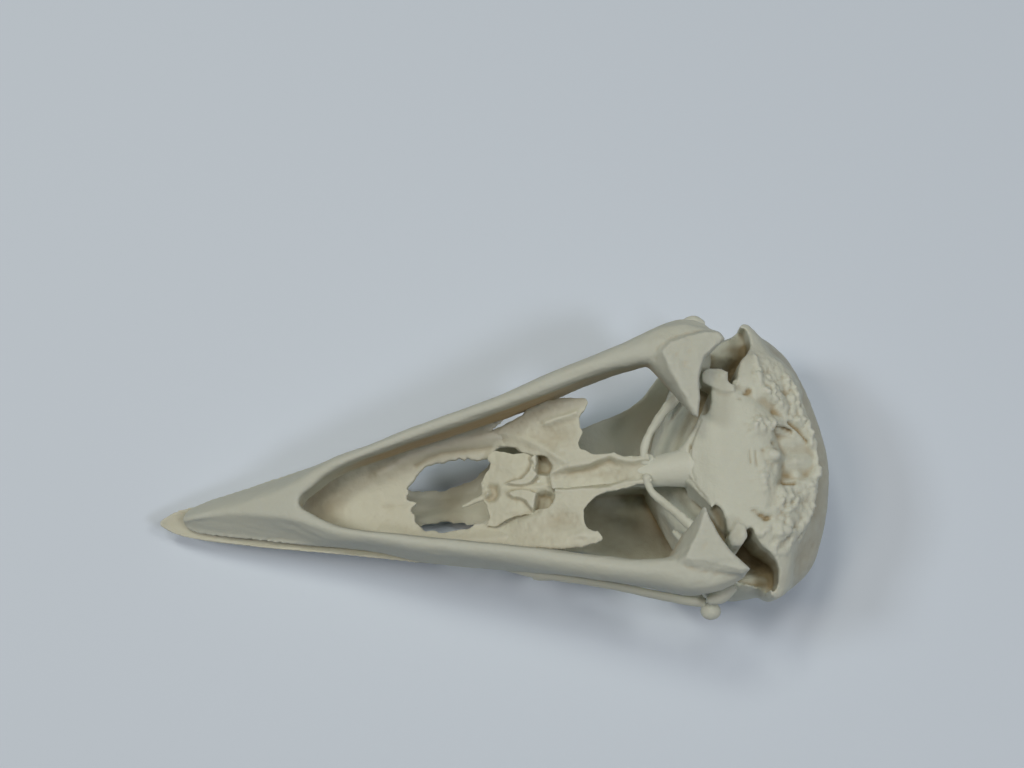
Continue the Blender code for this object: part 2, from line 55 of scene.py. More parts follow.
def through(*stations):
    """Smooth curve through (place, value) stations: a cubic between each two, whose slope at a
    station is the harmonic mean of the slopes beside it, or level where they change sign."""
    xs, ys = np.array(stations, float).T
    width = np.diff(xs)
    steps = np.diff(ys) / width
    slopes = np.concatenate(([steps[0]], np.zeros(len(xs) - 2), [steps[-1]]))
    both = steps[:-1] * steps[1:]
    slopes[1:-1] = np.where(both > 0, 2 * both / (steps[:-1] + steps[1:] + 1e-12), 0.0)

    def value(s):
        s = np.clip(np.asarray(s, float), xs[0], xs[-1])
        i = np.clip(np.searchsorted(xs, s, side="right") - 1, 0, len(xs) - 2)
        t = (s - xs[i]) / width[i]
        return (ys[i] * (1 + 2 * t) * (1 - t) ** 2 + width[i] * slopes[i] * t * (1 - t) ** 2
                + ys[i + 1] * t * t * (3 - 2 * t) + width[i] * slopes[i + 1] * t * t * (t - 1))

    return value


def ramp(value, low, high):
    """0 below low, 1 above high, and 3t² - 2t³ between."""
    t = np.clip((value - low) / (high - low), 0.0, 1.0)
    return t * t * (3 - 2 * t)


def solid(name, points, faces):
    """Closed mesh object from (s, y, z) points, with its faces turned outwards."""
    mesh = bpy.data.meshes.new(name)
    metres = (np.reshape(points, (-1, 3)) - (HALF_LENGTH, 0.0, 0.0)) * MM
    mesh.from_pydata(metres.tolist(), [], faces)
    skin_mesh = bmesh.new()
    skin_mesh.from_mesh(mesh)
    bmesh.ops.triangulate(skin_mesh, faces=[face for face in skin_mesh.faces if len(face.verts) > 4])
    bmesh.ops.recalc_face_normals(skin_mesh, faces=skin_mesh.faces)
    skin_mesh.to_mesh(mesh)
    skin_mesh.free()
    obj = bpy.data.objects.new(name, mesh)
    bpy.context.scene.collection.objects.link(obj)
    return obj


def loft(name, rings):
    """Skin over rings[i, j], point j of section i: quads between sections, a face at each end."""
    sections, around = rings.shape[:2]
    i, j = np.meshgrid(np.arange(sections - 1), np.arange(around), indexing="ij")
    k = (j + 1) % around
    quads = np.stack([i * around + j, i * around + k, (i + 1) * around + k, (i + 1) * around + j], -1)
    ends = [list(range(around)), list(range((sections - 1) * around, sections * around))]
    return solid(name, rings, quads.reshape(-1, 4).tolist() + ends)


def tube(name, path, radii, around=20, steps=36):
    """Round section carried along a smooth path: centre(t) + radius(t)(cos a across + sin a up)."""
    path = np.array(path, float)
    t = np.concatenate(([0.0], np.cumsum(np.linalg.norm(np.diff(path, axis=0), axis=1))))
    fine = np.linspace(0.0, t[-1], steps)
    centre = np.stack([through(*zip(t, path[:, k]))(fine) for k in range(3)], 1)
    radius = through(*zip(t, radii))(fine)
    along = np.gradient(centre, axis=0)
    along /= np.linalg.norm(along, axis=1, keepdims=True)
    steady = np.eye(3)[np.argmin(np.abs(along).mean(0))]
    across = np.cross(along, steady)
    across /= np.linalg.norm(across, axis=1, keepdims=True)
    up = np.cross(across, along)
    a = np.linspace(0, 2 * np.pi, around, endpoint=False)
    round_part = np.cos(a)[None, :, None] * across[:, None] + np.sin(a)[None, :, None] * up[:, None]
    return loft(name, centre[:, None] + radius[:, None, None] * round_part)


def ellipsoid(name, centre, radii, lean=0.0, around=48):
    """Ellipsoid: centre + radii · (cos u, sin u cos v, sin u sin v), leaned about the y axis."""
    u = np.linspace(0.04, np.pi - 0.04, around // 2)
    v = np.linspace(0, 2 * np.pi, around, endpoint=False)
    ball = np.stack([np.cos(u)[:, None] + 0 * v, np.sin(u)[:, None] * np.cos(v),
                     np.sin(u)[:, None] * np.sin(v)], -1) * radii
    c, w = math.cos(math.radians(lean)), math.sin(math.radians(lean))
    turned = np.stack([c * ball[..., 0] + w * ball[..., 2], ball[..., 1],
                       c * ball[..., 2] - w * ball[..., 0]], -1)
    return loft(name, turned + np.array(centre))


def plate(name, outline, low, high, heart=None):
    """Flat piece with a plan outline of (s, y), between the heights low(s, y) and high(s, y).
    With a heart point both faces are rings that shrink to it, so that they follow the heights."""
    outline = np.array(outline, float)
    shares = np.array([1.0]) if heart is None else np.array([0.04, 0.2, 0.4, 0.6, 0.8, 1.0])
    flat = (heart or (0.0, 0.0)) + shares[:, None, None] * (outline - (heart or (0.0, 0.0)))
    s, y = flat[..., 0], flat[..., 1]
    under, over = np.stack([s, y, low(s, y)], -1), np.stack([s, y, high(s, y)], -1)
    return loft(name, np.concatenate([under, over[::-1]]))


def upright(name, outline, y, thickness):
    """Flat piece that stands along the skull at y, with a side outline of (s, z)."""
    s, z = np.array(outline, float).T
    flank = [np.stack([s, 0 * s + y + side * thickness / 2, z], 1) for side in (-1, 1)]
    return loft(name, np.stack(flank))


def shaped(obj):
    """The object with its modifiers worked into its mesh."""
    bpy.context.view_layer.update()
    mesh = bpy.data.meshes.new_from_object(obj.evaluated_get(bpy.context.evaluated_depsgraph_get()))
    obj.modifiers.clear()
    obj.data = mesh
    return obj


def combined(body, others, operation):
    """The body after a Boolean with each of the others in turn, which are used up."""
    for other in others:
        boolean = body.modifiers.new(operation.lower(), "BOOLEAN")
        boolean.operation = operation
        boolean.solver = "EXACT"
        boolean.object = other
        shaped(body)
        bpy.data.objects.remove(other, do_unlink=True)
    return body


def read_points(mesh):
    """The mesh's points as (s, y, z) in millimetres."""
    flat = np.empty(len(mesh.vertices) * 3)
    mesh.vertices.foreach_get("co", flat)
    return flat.reshape(-1, 3) / MM + (HALF_LENGTH, 0.0, 0.0)


def write_points(mesh, points):
    """Puts (s, y, z) points in millimetres back into the mesh, in metres about its middle."""
    mesh.vertices.foreach_set("co", ((points - (HALF_LENGTH, 0.0, 0.0)) * MM).ravel())
    mesh.update()


def mean_offset(points, edges):
    """For each point, the mean of its neighbours less the point itself."""
    a, b = edges.T
    count = len(points)
    links = np.bincount(a, minlength=count) + np.bincount(b, minlength=count)
    total = [np.bincount(a, points[b, k], count) + np.bincount(b, points[a, k], count) for k in range(3)]
    return np.stack(total, 1) / links[:, None] - points


def relax(points, edges, rounds):
    """Rounds of evening out: half a step towards the neighbours' mean, then a little more than
    half a step back, which rounds sharp corners and keeps the thickness."""
    towards, back = 0.5, 0.52
    for _ in range(rounds):
        points = points + towards * mean_offset(points, edges)
        points = points - back * mean_offset(points, edges)
    return points


def edge_distance(points, outline):
    """Distance from a plan outline of (s, y) corners: positive inside it, negative outside."""
    outline = np.array(outline, float)
    s, y = points[:, 0], points[:, 1]
    nearest, inside = np.full(len(s), np.inf), np.zeros(len(s), bool)
    for a, b in zip(outline, np.roll(outline, -1, axis=0)):
        reach = b - a
        t = np.clip(((s - a[0]) * reach[0] + (y - a[1]) * reach[1]) / (reach @ reach), 0.0, 1.0)
        nearest = np.minimum(nearest, (s - a[0] - t * reach[0]) ** 2 + (y - a[1] - t * reach[1]) ** 2)
        if reach[1]:
            inside ^= ((a[1] > y) != (b[1] > y)) & (s < a[0] + reach[0] * (y - a[1]) / reach[1])
    return np.where(inside, 1.0, -1.0) * np.sqrt(nearest)


def field(points, outline, height, soft=0.2):
    """Raised or sunk field: its height inside a plan outline, blended over the soft edge."""
    return height * ramp(edge_distance(points, outline), -soft, soft)


def fine_bone(obj, voxel, rounds, relief, blend=None, drape=None, painted_light_and_shade=None):
    """Turns a rough solid into finished bone: an even skin of small quads, rounded corners,
    wide fillets where blend(points) is 1, a flat plate draped to the height drape(points), then
    relief(points, normals) in mm along the normal. A point attribute holds painted shade: it is
    high where a point lies below the mean of its surroundings, deep in a hollow where shade falls,
    plus the painted light and shade that the last argument paints; below zero it is painted light."""
    quick_voxel, fillet_rounds, mean_rounds, shade_depth = 1.7, 60, 30, 0.5
    remesh = obj.modifiers.new("even skin", "REMESH")
    remesh.mode = "VOXEL"
    remesh.voxel_size = voxel * 1.0 * MM
    mesh = shaped(obj).data
    edges = np.empty(len(mesh.edges) * 2, int)
    mesh.edges.foreach_get("vertices", edges)
    edges = edges.reshape(-1, 2)
    points = relax(read_points(mesh), edges, rounds)
    if blend:
        weight = blend(points)[:, None]
        for _ in range(fillet_rounds):
            points = points + 0.5 * weight * mean_offset(points, edges)
    if drape:
        points[:, 2] += drape(points)
        points = relax(points, edges, 1)
    write_points(mesh, points)
    normals = np.empty(len(mesh.vertices) * 3)
    mesh.vertex_normals.foreach_get("vector", normals)
    normals = normals.reshape(-1, 3)
    points = points + normals * relief(points, normals)[:, None]
    write_points(mesh, relax(points, edges, 1))
    # Painted shade: how far each point lies below its smoothed surroundings, as shade falls in hollows, plus
    # the given painted light and shade
    around = points
    for _ in range(mean_rounds):
        around = around + 0.5 * mean_offset(around, edges)
    painted_shade = ((around - points) * normals).sum(1) / shade_depth
    if painted_light_and_shade:
        painted_shade += painted_light_and_shade(points)
    mesh.attributes.new("painted_shade", "FLOAT", "POINT").data.foreach_set("value", painted_shade.astype(np.float32))
    mesh.shade_smooth()
    return obj


def cell_number(cell, count):
    """Repeatable scrambled number from 0 to count - 1 for each cube of space: its three whole
    coordinates times three large primes, joined bit by bit."""
    return (cell[:, 0] * 73856093 ^ cell[:, 1] * 19349663 ^ cell[:, 2] * 83492791) & (count - 1)


def lumps(points, size, seed):
    """Smooth random field from -1 to 1: seeded numbers at the corners of cubes of that size,
    blended between the eight corners with 3t² - 2t³."""
    cell = np.floor(points / size).astype(np.int64)
    t = points / size - cell
    t = t * t * (3 - 2 * t)
    numbers = np.random.default_rng(seed).uniform(-1.0, 1.0, 8192)
    total = np.zeros(len(points))
    for corner in np.ndindex(2, 2, 2):
        share = np.prod(np.where(corner, t, 1 - t), axis=1)
        total += share * numbers[cell_number(cell + corner, len(numbers))]
    return total


def line_height(points, path, width, height):
    """Ridge or groove along a path: height · exp(-(distance / width)²), the distance measured
    from above for a path of (s, y) and in space for a path of (s, y, z)."""
    path = np.array(path, float)
    seen = points[:, :path.shape[1]]
    nearest = np.full(len(points), np.inf)
    for start, end in zip(path, path[1:]):
        reach = end - start
        t = np.clip((seen - start) @ reach / (reach @ reach), 0.0, 1.0)
        nearest = np.minimum(nearest, ((seen - start - t[:, None] * reach) ** 2).sum(1))
    return height * np.exp(-nearest / width ** 2)


def lines(points, *each):
    """Sum of ridges and grooves, each (path, width, height)."""
    return sum(line_height(points, *line) for line in each)


def spots(points, *each):
    """Knobs and pits, each (centre, radii, height): height · exp(-Σ((point - centre) / radii)²)."""
    total = np.zeros(len(points))
    for centre, radii, height in each:
        total += height * np.exp(-(((points[:, :len(centre)] - centre) / np.array(radii)) ** 2).sum(1))
    return total


# Along the skull: half width, crown height and arch of the forehead roof, then half width, top
# height, middle height and roundness (1 an ellipse, less a squarer one) of the braincase
ROOF_WIDTH = through((63.4, 9.6), (68, 10.2), (71.7, 10.9), (75.6, 12.2), (79.4, 13.4), (83.2, 15.6),
                     (85.4, 18.2), (88, 19.9), (92, 20.6))
CROWN = through((63.4, 3.3), (68, 3.1), (72, 2.3), (76, 1.3), (80, 0.5), (84, 0.12), (88, 0.02),
                (95, 0.02), (98, 0.3), (101.5, 1.5), (104.3, 3.3), (107, 6.0), (108.6, 8.2),
                (109.9, 10.5), (110.9, 12.6), (111.6, 14.6))
ROOF_ARCH = through((63.4, 2.8), (72, 4.0), (76, 4.9), (80, 5.8), (84, 7.2), (88, 9.7), (92, 11.0))
CASE_WIDTH = through((82.5, 2.5), (84, 7.5), (86, 12.5), (88, 16.5), (90, 19.2), (93, 20.9), (97, 21.8),
                     (101, 22.2), (104.2, 20.7), (106.8, 18.1), (108.4, 14.8), (109.8, 10.6),
                     (110.8, 6.6), (111.6, 1.4))
CASE_FLOOR = through((82.5, 13.5), (85, 17.0), (88, 20.0), (91, 23.0), (95, 26.5), (98, 28.2),
                     (101, 26.6), (104.3, 24.0), (107, 21.7), (108.6, 20.3), (109.9, 18.9),
                     (110.9, 17.6), (111.6, 15.8))
CASE_MIDDLE = through((82.5, 10.0), (90, 13.0), (98, 14.5), (111.6, 15.2))
CASE_SQUARE = through((90, 0.8), (97, 0.62), (101, 0.62), (105, 0.78), (108, 0.88), (111.6, 0.9))

# Plan outlines: the ear hollows, the small block beside each of them and the base plate
EAR_LEFT = [(92.7, 15.6), (93.3, 19.2), (95.3, 20.4), (97.3, 20.9), (98.9, 21.9), (99.3, 19.9),
            (99.3, 18.2), (98.4, 16.8), (97.1, 15.6), (96.5, 14.3), (95.9, 12.4), (94.8, 12.5),
            (94.6, 15.4)]
EAR_RIGHT = [(92.7, -15.4), (93.7, -18.6), (95.7, -19.2), (97.5, -20.0), (98.6, -20.9), (99.3, -19.3),
             (99.5, -17.5), (99.2, -16.2), (98.2, -14.8), (97.1, -13.9), (96.0, -12.3), (95.9, -11.0),
             (95.1, -10.9), (94.7, -12.8)]
BLOCKS = [
    [(90.4, 12.3), (90.4, 13.4), (91.1, 14.3), (93.4, 14.2), (94.5, 13.5), (94.4, 11.9), (95.5, 11.4),
     (95.2, 10.4), (93.1, 10.6), (91.0, 11.8)],
    [(91.7, -12.4), (92.5, -11.3), (93.4, -10.2), (94.5, -11.0), (94.8, -12.4), (93.6, -13.8),
     (92.1, -13.7)],
]
BASE_PLATE = [(86.9, -2.3), (87.5, -4.0), (88.3, -5.1), (89.3, -6.4), (90.6, -8.8), (91.3, -10.3),
              (92.1, -11.6), (94.8, -10.8), (96.2, -12.4), (100.0, -13.0), (103.4, -9.0), (104.4, 0.0),
              (103.4, 9.0), (100.0, 13.0), (96.4, 13.0), (95.3, 11.0), (92.3, 11.9), (91.3, 10.0),
              (90.5, 8.5), (89.4, 6.5), (88.6, 4.9), (87.8, 3.1), (87.1, 0.8)]

# Plan outlines: the shelf behind each ear hollow, left and right, the flange beside the rostrum
# and the nape with its curved hind edge
EAR_WINGS = [
    [(95.9, 10.6), (95.3, 12.2), (96.0, 14.5), (96.7, 15.9), (98.0, 17.2), (98.8, 18.3), (98.8, 19.3),
     (98.4, 20.6), (98.1, 22.1), (98.7, 22.7), (99.3, 22.7), (100.3, 22.0), (102.6, 20.6),
     (105.0, 18.8), (106.4, 16.4), (107.3, 13.4), (107.9, 10.4), (100.0, 9.0)],
    [(95.6, -9.6), (95.2, -10.9), (95.7, -12.4), (96.6, -14.1), (97.7, -15.2), (98.6, -16.6),
     (98.9, -17.8), (98.4, -19.4), (97.8, -20.6), (98.1, -21.4), (98.8, -21.7), (99.9, -21.5),
     (101.3, -20.7), (103.0, -19.6), (105.0, -17.8), (106.3, -16.0), (107.3, -13.2), (107.9, -10.0),
     (100.0, -9.0)],
]
FLANGE = [(84.6, 0.8), (85.6, 2.2), (86.7, 3.1), (88.1, 4.7), (89.2, 6.2), (90.3, 8.2), (92.0, 8.0),
          (90.0, 1.0)]
NAPE = [(97.0, 9.0), (99.4, 15.4), (101.0, 17.0), (103.4, 15.8), (105.2, 13.6), (106.2, 10.4),
        (106.9, 7.2), (107.6, 4.2), (108.0, 1.4), (107.8, -1.7), (107.1, -4.9), (106.2, -8.1),
        (104.9, -10.6), (103.2, -12.6), (101.4, -14.6), (99.6, -15.6), (97.0, -9.0)]

# Plan outlines on the hind face: two rough fields and the sunk field behind the condyle
ROUGH_LEFT = [(98.8, 16.4), (100.0, 17.2), (102.7, 15.7), (103.9, 14.2), (105.0, 12.6), (105.8, 10.4),
              (106.5, 7.7), (107.2, 4.8), (107.8, 1.6), (107.0, 1.6), (106.0, 4.4), (103.2, 6.1),
              (101.7, 8.1), (99.9, 9.8), (99.4, 12.0), (99.0, 13.7)]
ROUGH_RIGHT = [(100.8, -4.9), (104.5, -4.6), (107.0, -2.8), (108.2, 0.6), (108.4, -1.7), (107.6, -5.0),
               (106.5, -8.3), (104.9, -10.8), (103.0, -13.4), (100.6, -15.2), (98.9, -15.0),
               (97.5, -13.2), (96.5, -11.6), (98.3, -10.4), (99.4, -7.8)]
SUNK = [(100.8, 4.0), (102.9, 3.8), (105.0, 3.1), (106.6, 1.7), (107.5, 0.2), (107.3, -1.8),
        (105.9, -3.3), (103.6, -4.1), (100.7, -4.4), (101.4, -2.0), (101.8, -0.2), (101.2, 1.6)]


def roof_rings(s):
    """Forehead section: z = crown + arch·|t|^2.6 for t from -1 to 1 across, 2 mm thick at the
    middle and 1 mm at the rim of the orbit."""
    s = s[:, None]
    t = np.linspace(-1, 1, 45)[None]
    low = CROWN(s) + ROOF_ARCH(s) * np.abs(t) ** 2.6
    under = np.stack(np.broadcast_arrays(s, ROOF_WIDTH(s) * t, low), -1)
    over = np.stack(np.broadcast_arrays(s, 0.985 * ROOF_WIDTH(s) * t, low + 2.0 - t * t), -1)
    return np.concatenate([under, over[:, ::-1]], 1)


def case_rings(s):
    """Braincase section: a superellipse with its own height above and below the middle line,
    and 8 % narrower on the right behind the orbits, as on this skull."""
    s = s[:, None]
    a = np.linspace(0, 2 * np.pi, 96, endpoint=False)[None]
    low, high = CROWN(s), CASE_FLOOR(s)
    middle = np.clip(CASE_MIDDLE(s), low + 1.0, high - 1.0)
    across, along = np.cos(a), np.sin(a)
    half = np.where(along > 0, high - middle, middle - low)
    power = np.where(along > 0, CASE_SQUARE(s), 0.95)
    y = CASE_WIDTH(s) * np.sign(across) * np.abs(across) ** power
    y = np.where(y < 0, y * (1.0 - 0.08 * ramp(s, 92.0, 100.0)), y)
    z = middle + half * np.sign(along) * np.abs(along) ** power
    return np.stack(np.broadcast_arrays(s, y, z), -1)


def plate_top(s, y):
    """Height of the skull base: it rises from the rostrum, runs level and sinks to the nape."""
    return 29.5 - 1.9 * ramp(-s, -92.0, -86.6) - 0.42 * np.maximum(s - 98.0, 0.0) - 0.004 * y * y


def wing_top(s, y):
    """Height behind the ear hollow: highest beside the base plate, falling to the ear tip, and
    steeply beyond the edge of the nape."""
    beyond = -edge_distance(np.stack([s.ravel(), y.ravel()], 1), NAPE).reshape(s.shape)
    fall = 0.42 * np.maximum(s - 98.0, 0.0) + 1.6 * np.maximum(beyond, 0.0) * ramp(s, 101.0, 103.5)
    return 28.4 - fall - 0.036 * np.maximum(np.abs(y) - 12.0, 0.0) ** 2


def nape_top(s, y):
    """Height of the hind face, where the neck muscles held on: it falls evenly to the nape."""
    return plate_top(s, y) - 0.12 - 0.002 * y * y


def ear_floor(s, y):
    """Floor of the ear hollow: a shelf outside that drops 5 mm towards the base plate."""
    return 20.8 - 4.8 * ramp(-np.abs(y), -18.6, -14.4)


def flange_top(s, y):
    """Height of the flange: 26 mm at s = 85, and 0.45 mm more for each millimetre back."""
    return 26.0 + 0.45 * (s - 85)


def level(z):
    """A face that lies level at the height z."""
    return lambda s, y: z + 0.0 * s


def build_cranium():
    """Braincase, septum, base plate, nape, ear wings, flanges and condyle joined into one body,
    less the orbits, ear hollows and front hollows, plus the forehead roof and the small blocks."""
    roof = loft("roof", roof_rings(np.linspace(BILL_HINGE, 92.0, 40)))
    case = loft("case", case_rings(np.concatenate([np.linspace(82.5, 108.0, 36),
                                                   np.linspace(108.6, 111.6, 10)])))
    septum = upright("septum", [(64.5, 4), (86, 2), (87, 19.9), (83, 19.9), (76, 19.3), (64.5, 18.1)],
                     0.0, 1.1)
    pieces = [septum, plate("base plate", BASE_PLATE, level(20.0), plate_top, heart=(95.0, 0.0)),
              plate("nape", NAPE, level(16.0), nape_top, heart=(101.5, 0.6))]
    for side, wing in zip((1, -1), EAR_WINGS):
        pieces += [
            ellipsoid("front wall", (65.8, side * 5.0, 11.0), (0.9, 5.4, 8.2)),
            plate("ear wing", wing, level(15.0), wing_top, heart=(102.0, side * 15.5)),
            plate("flange", [(s, side * y) for s, y in FLANGE], level(22.0), flange_top),
            tube("orbit corner", [(91.5, side * 17.6, 7.5), (90.2, side * 19.6, 12.0),
                                  (88.4, side * 20.6, 16.8)], (3.0, 1.8, 0.5)),
        ]
    pieces.append(ellipsoid("condyle", (100.1, -0.1, 28.4), (1.5, 1.2, 1.4)))
    pieces.append(ellipsoid("condyle knob", (99.0, -3.8, 27.9), (1.3, 1.5, 1.2)))
    body = combined(case, pieces, "UNION")
    hollows = [ellipsoid("septum window", (79.0, 0.0, 12.6), (4.0, 3.0, 3.0))]
    for side, outline in ((1, EAR_LEFT), (-1, EAR_RIGHT)):
        hollows += [
            ellipsoid("orbit", (76.6, side * 13.3, 13.4), (9.6, 11.6, 10.6), around=72),
            plate("ear hollow", outline, ear_floor, level(31.0), heart=(96.4, side * 17.4)),
            ellipsoid("front hollow", (90.4 - side * 0.1, side * 10.6, 27.4), (1.45, 3.8, 3.3)),
        ]
    body = combined(body, hollows, "DIFFERENCE")
    blocks = [plate("block", block, level(24.5), level(29.5)) for block in BLOCKS]
    return combined(body, [roof] + blocks, "UNION")


def cranium_blend(points):
    """Wide fillets in front of the base plate, below the nape and round the ear's outer edge."""
    s, y, z = points.T
    front = 0.5 * ramp(-s, -89.0, -84.0) * ramp(s, 66.0, 70.0) * ramp(z, 2.0, 5.0)
    outside = -edge_distance(points, NAPE)
    wall = ramp(outside, -0.9, 0.3) * ramp(nape_top(s, y) - z, 1.0, 2.0)
    beyond = 0.8 * np.maximum(ramp(outside, -0.2, 1.5), wall) * ramp(s, 99.5, 101.0) * ramp(z, 9.0, 12.0)
    ear = 0.5 * ramp(np.abs(y), 19.0, 20.5) * ramp(-z, -21.5, -20.0) * ramp(z, 7.0, 11.0)
    ear *= ramp(s, 88.0, 91.0) * ramp(-s, -103.0, -100.0)
    return np.maximum(np.maximum(front, beyond), ear)


def cranium_drape(points):
    """The sunk field behind the condyle: a shallow basin with a raised slab in its middle."""
    s, z = points[:, 0], points[:, 2]
    basin = field(points, SUNK, 1.35, 0.7) * (1.0 - 0.5 * ramp(s, 102.0, 107.5))
    slab = spots(points, ((104.6, -0.9), (2.4, 1.1), 0.9), ((103.8, 2.4), (2.0, 0.7), 0.35),
                 ((104.2, -3.0), (0.8, 0.6), 0.5), ((102.3, -3.0), (0.9, 0.6), -0.5),
                 ((101.6, -1.7), (0.6, 0.8), -0.4))
    return (slab - basin) * ramp(z, 17.0, 19.0)


def pebbles(points, size, seed):
    """Rounded grains: 1 at each of the seeded centres, one in every cube of that size, and
    falling with the square of the distance to 0 at 0.7 of the size."""
    cell = np.floor(points / size).astype(np.int64)
    centres = np.random.default_rng(seed).uniform(0.1, 0.9, (4096, 3))
    nearest = np.full(len(points), np.inf)
    for step in np.ndindex(3, 3, 3):
        c = cell + np.array(step) - 1
        centre = c + centres[cell_number(c, len(centres))]
        nearest = np.minimum(nearest, ((points / size - centre) ** 2).sum(1))
    return np.maximum(1.0 - nearest / 0.7 ** 2, 0.0)


# More rough places on the hind face, and the knobs of the small blocks, (centre, radii, height)
ROUGH_SPOTS = [((98.0, 5.0), (2.0, 1.5), 1.0), ((98.2, -3.9), (1.2, 2.2), 1.0),
               ((100.7, 4.8), (1.3, 1.0), 0.9)]
BLOCK_KNOBS = [((91.4, 13.1), (0.7, 0.8), 0.4), ((93.6, 12.9), (0.6, 0.7), 0.4),
               ((92.6, -12.9), (0.6, 0.6), 0.4), ((93.9, -12.0), (0.5, 0.6), 0.4)]

# Slits and grooves, (path, width, depth): round the sunk field, on the plate and along its edge
SLITS = [
    ([(101.0, 4.5), (102.5, 4.3), (104.0, 3.7)], 0.28, 1.0),
    ([(103.7, 5.3), (105.1, 4.1), (106.3, 2.2)], 0.26, 0.8),
    ([(101.6, -4.2), (103.4, -4.3)], 0.26, 0.8),
    ([(101.4, 6.9), (104.2, 5.9)], 0.5, 0.35),
    ([(96.6, 0.9), (96.5, -1.1)], 0.2, 0.35),
    ([(97.5, 0.7), (97.3, -1.6)], 0.2, 0.35),
    ([(87.5, 2.8), (87.4, 1.2), (87.6, -0.4), (87.3, -1.4), (87.8, -3.0)], 0.16, 0.35),
    ([(87.1, 1.0), (87.8, 2.9), (88.7, 4.8), (89.5, 6.4)], 0.22, 0.35),
    ([(87.0, -2.5), (88.2, -4.8), (89.2, -6.2)], 0.22, 0.3),
    ([(96.2, 11.2), (98.2, 9.4), (99.6, 8.6), (101.4, 7.2)], 0.9, 0.45),
    ([(96.6, -8.9), (97.8, -9.9), (99.0, -9.4)], 0.4, 0.4),
]

# Holes for nerves and vessels, (centre, radii, depth): three on each side, three near the middle
SMALL_HOLES = [
    ((97.7, 10.6), (0.4, 0.35), 0.7), ((97.1, 10.0), (0.5, 0.25), 0.5), ((96.1, 9.2), (0.5, 0.25), 0.45),
    ((98.3, -9.9), (0.45, 0.3), 0.7), ((97.3, -9.3), (0.55, 0.25), 0.5), ((96.1, -8.5), (0.5, 0.25), 0.45),
    ((100.6, 2.0), (0.4, 0.4), 0.6), ((100.9, 1.0), (0.3, 0.3), 0.4), ((98.6, 0.8), (0.3, 0.3), 0.3),
]


def cranium_relief(points, normals):
    """Two fields of rounded nodules on the hind face, slits round the sunk field, the small
    holes, and the knobs of the blocks, all on faces that look up, and an uneven skin all over."""
    up = ramp(normals[:, 2], 0.15, 0.45) * ramp(points[:, 2], 15.0, 18.0)
    bent = points + 0.25 * np.stack([lumps(points, 1.6, seed) for seed in (8, 9, 10)], 1)
    grains = 0.8 * pebbles(bent, 1.25, 1) + 0.5 * pebbles(bent, 0.75, 2)
    patchy = ramp(lumps(points, 2.4, 4), -0.45, 0.35)
    rough = field(points, ROUGH_LEFT, 1.0, 0.6) + field(points, ROUGH_RIGHT, 0.85, 0.6)
    rough += spots(points, *ROUGH_SPOTS)
    height = rough * (0.25 * patchy + (0.3 + 0.65 * patchy) * grains) + spots(points, *BLOCK_KNOBS)
    height -= lines(points, *SLITS) + spots(points, *SMALL_HOLES)
    return height * up + 0.07 * lumps(points, 2.6, 6) + 0.05 * lumps(points, 0.8, 7)


def cranium_light_and_shade(points):
    """Painted shade in warm brown inside the ear hollows, in the gaps in front of the base plate and
    in the small holes, and a darker flank beyond the nape. Painted shade in the right orbit, and
    painted light that makes the left orbit paler."""
    s, y, z = points.T
    ear_shade = field(points, EAR_LEFT, 0.9, 0.45) + field(points, EAR_RIGHT, 0.9, 0.45)
    ear_shade *= ramp(-z, -26.8, -24.6) * ramp(z, 12.5, 14.5) * ramp(-np.abs(y), -20.3, -19.0)
    ear_shade *= 0.4 + 0.6 * np.maximum(ramp(s, 95.5, 97.5), ramp(-np.abs(y), -17.0, -14.5))
    flank = 0.35 * ramp(-edge_distance(points, NAPE), 0.3, 1.5) * ramp(s, 101.0, 104.0) * ramp(z, 6.0, 14.0)
    gap_shade = spots(points, ((90.6, 10.8, 23.5), (1.8, 3.6, 4.5), 0.9),
                 ((91.2, -10.6, 23.5), (1.8, 3.4, 4.5), 0.9))
    hole_shade = spots(points, ((97.6, 10.2), (0.7, 0.5), 0.5), ((97.7, -9.8), (0.7, 0.5), 0.5))
    # Painted light in the left orbit and painted shade in the right one
    orbit = ramp(-s, -88.0, -84.0) * ramp(-z, -17.0, -12.0) * ramp(s, 66.0, 68.0)
    orbit *= 0.3 * ramp(-y, 1.0, 3.0) - 1.1 * ramp(y, 1.0, 3.0)
    return ear_shade + gap_shade + hole_shade + flank + orbit


cranium = fine_bone(build_cranium(), 0.307, 3, cranium_relief, cranium_blend,
                    cranium_drape, cranium_light_and_shade)


# Colours of dry bone: plain and mottled darker, paler on raised edges and where painted light is set, and a
# warm brown for the painted shade in hollows
CREAM = (0.62, 0.63, 0.53, 1)
DARK_CREAM = (0.57, 0.555, 0.43, 1)
PALE_EDGE_AND_PAINTED_LIGHT = (0.73, 0.735, 0.66, 1)
PAINTED_HOLLOW_SHADE = (0.35, 0.28, 0.165, 1)


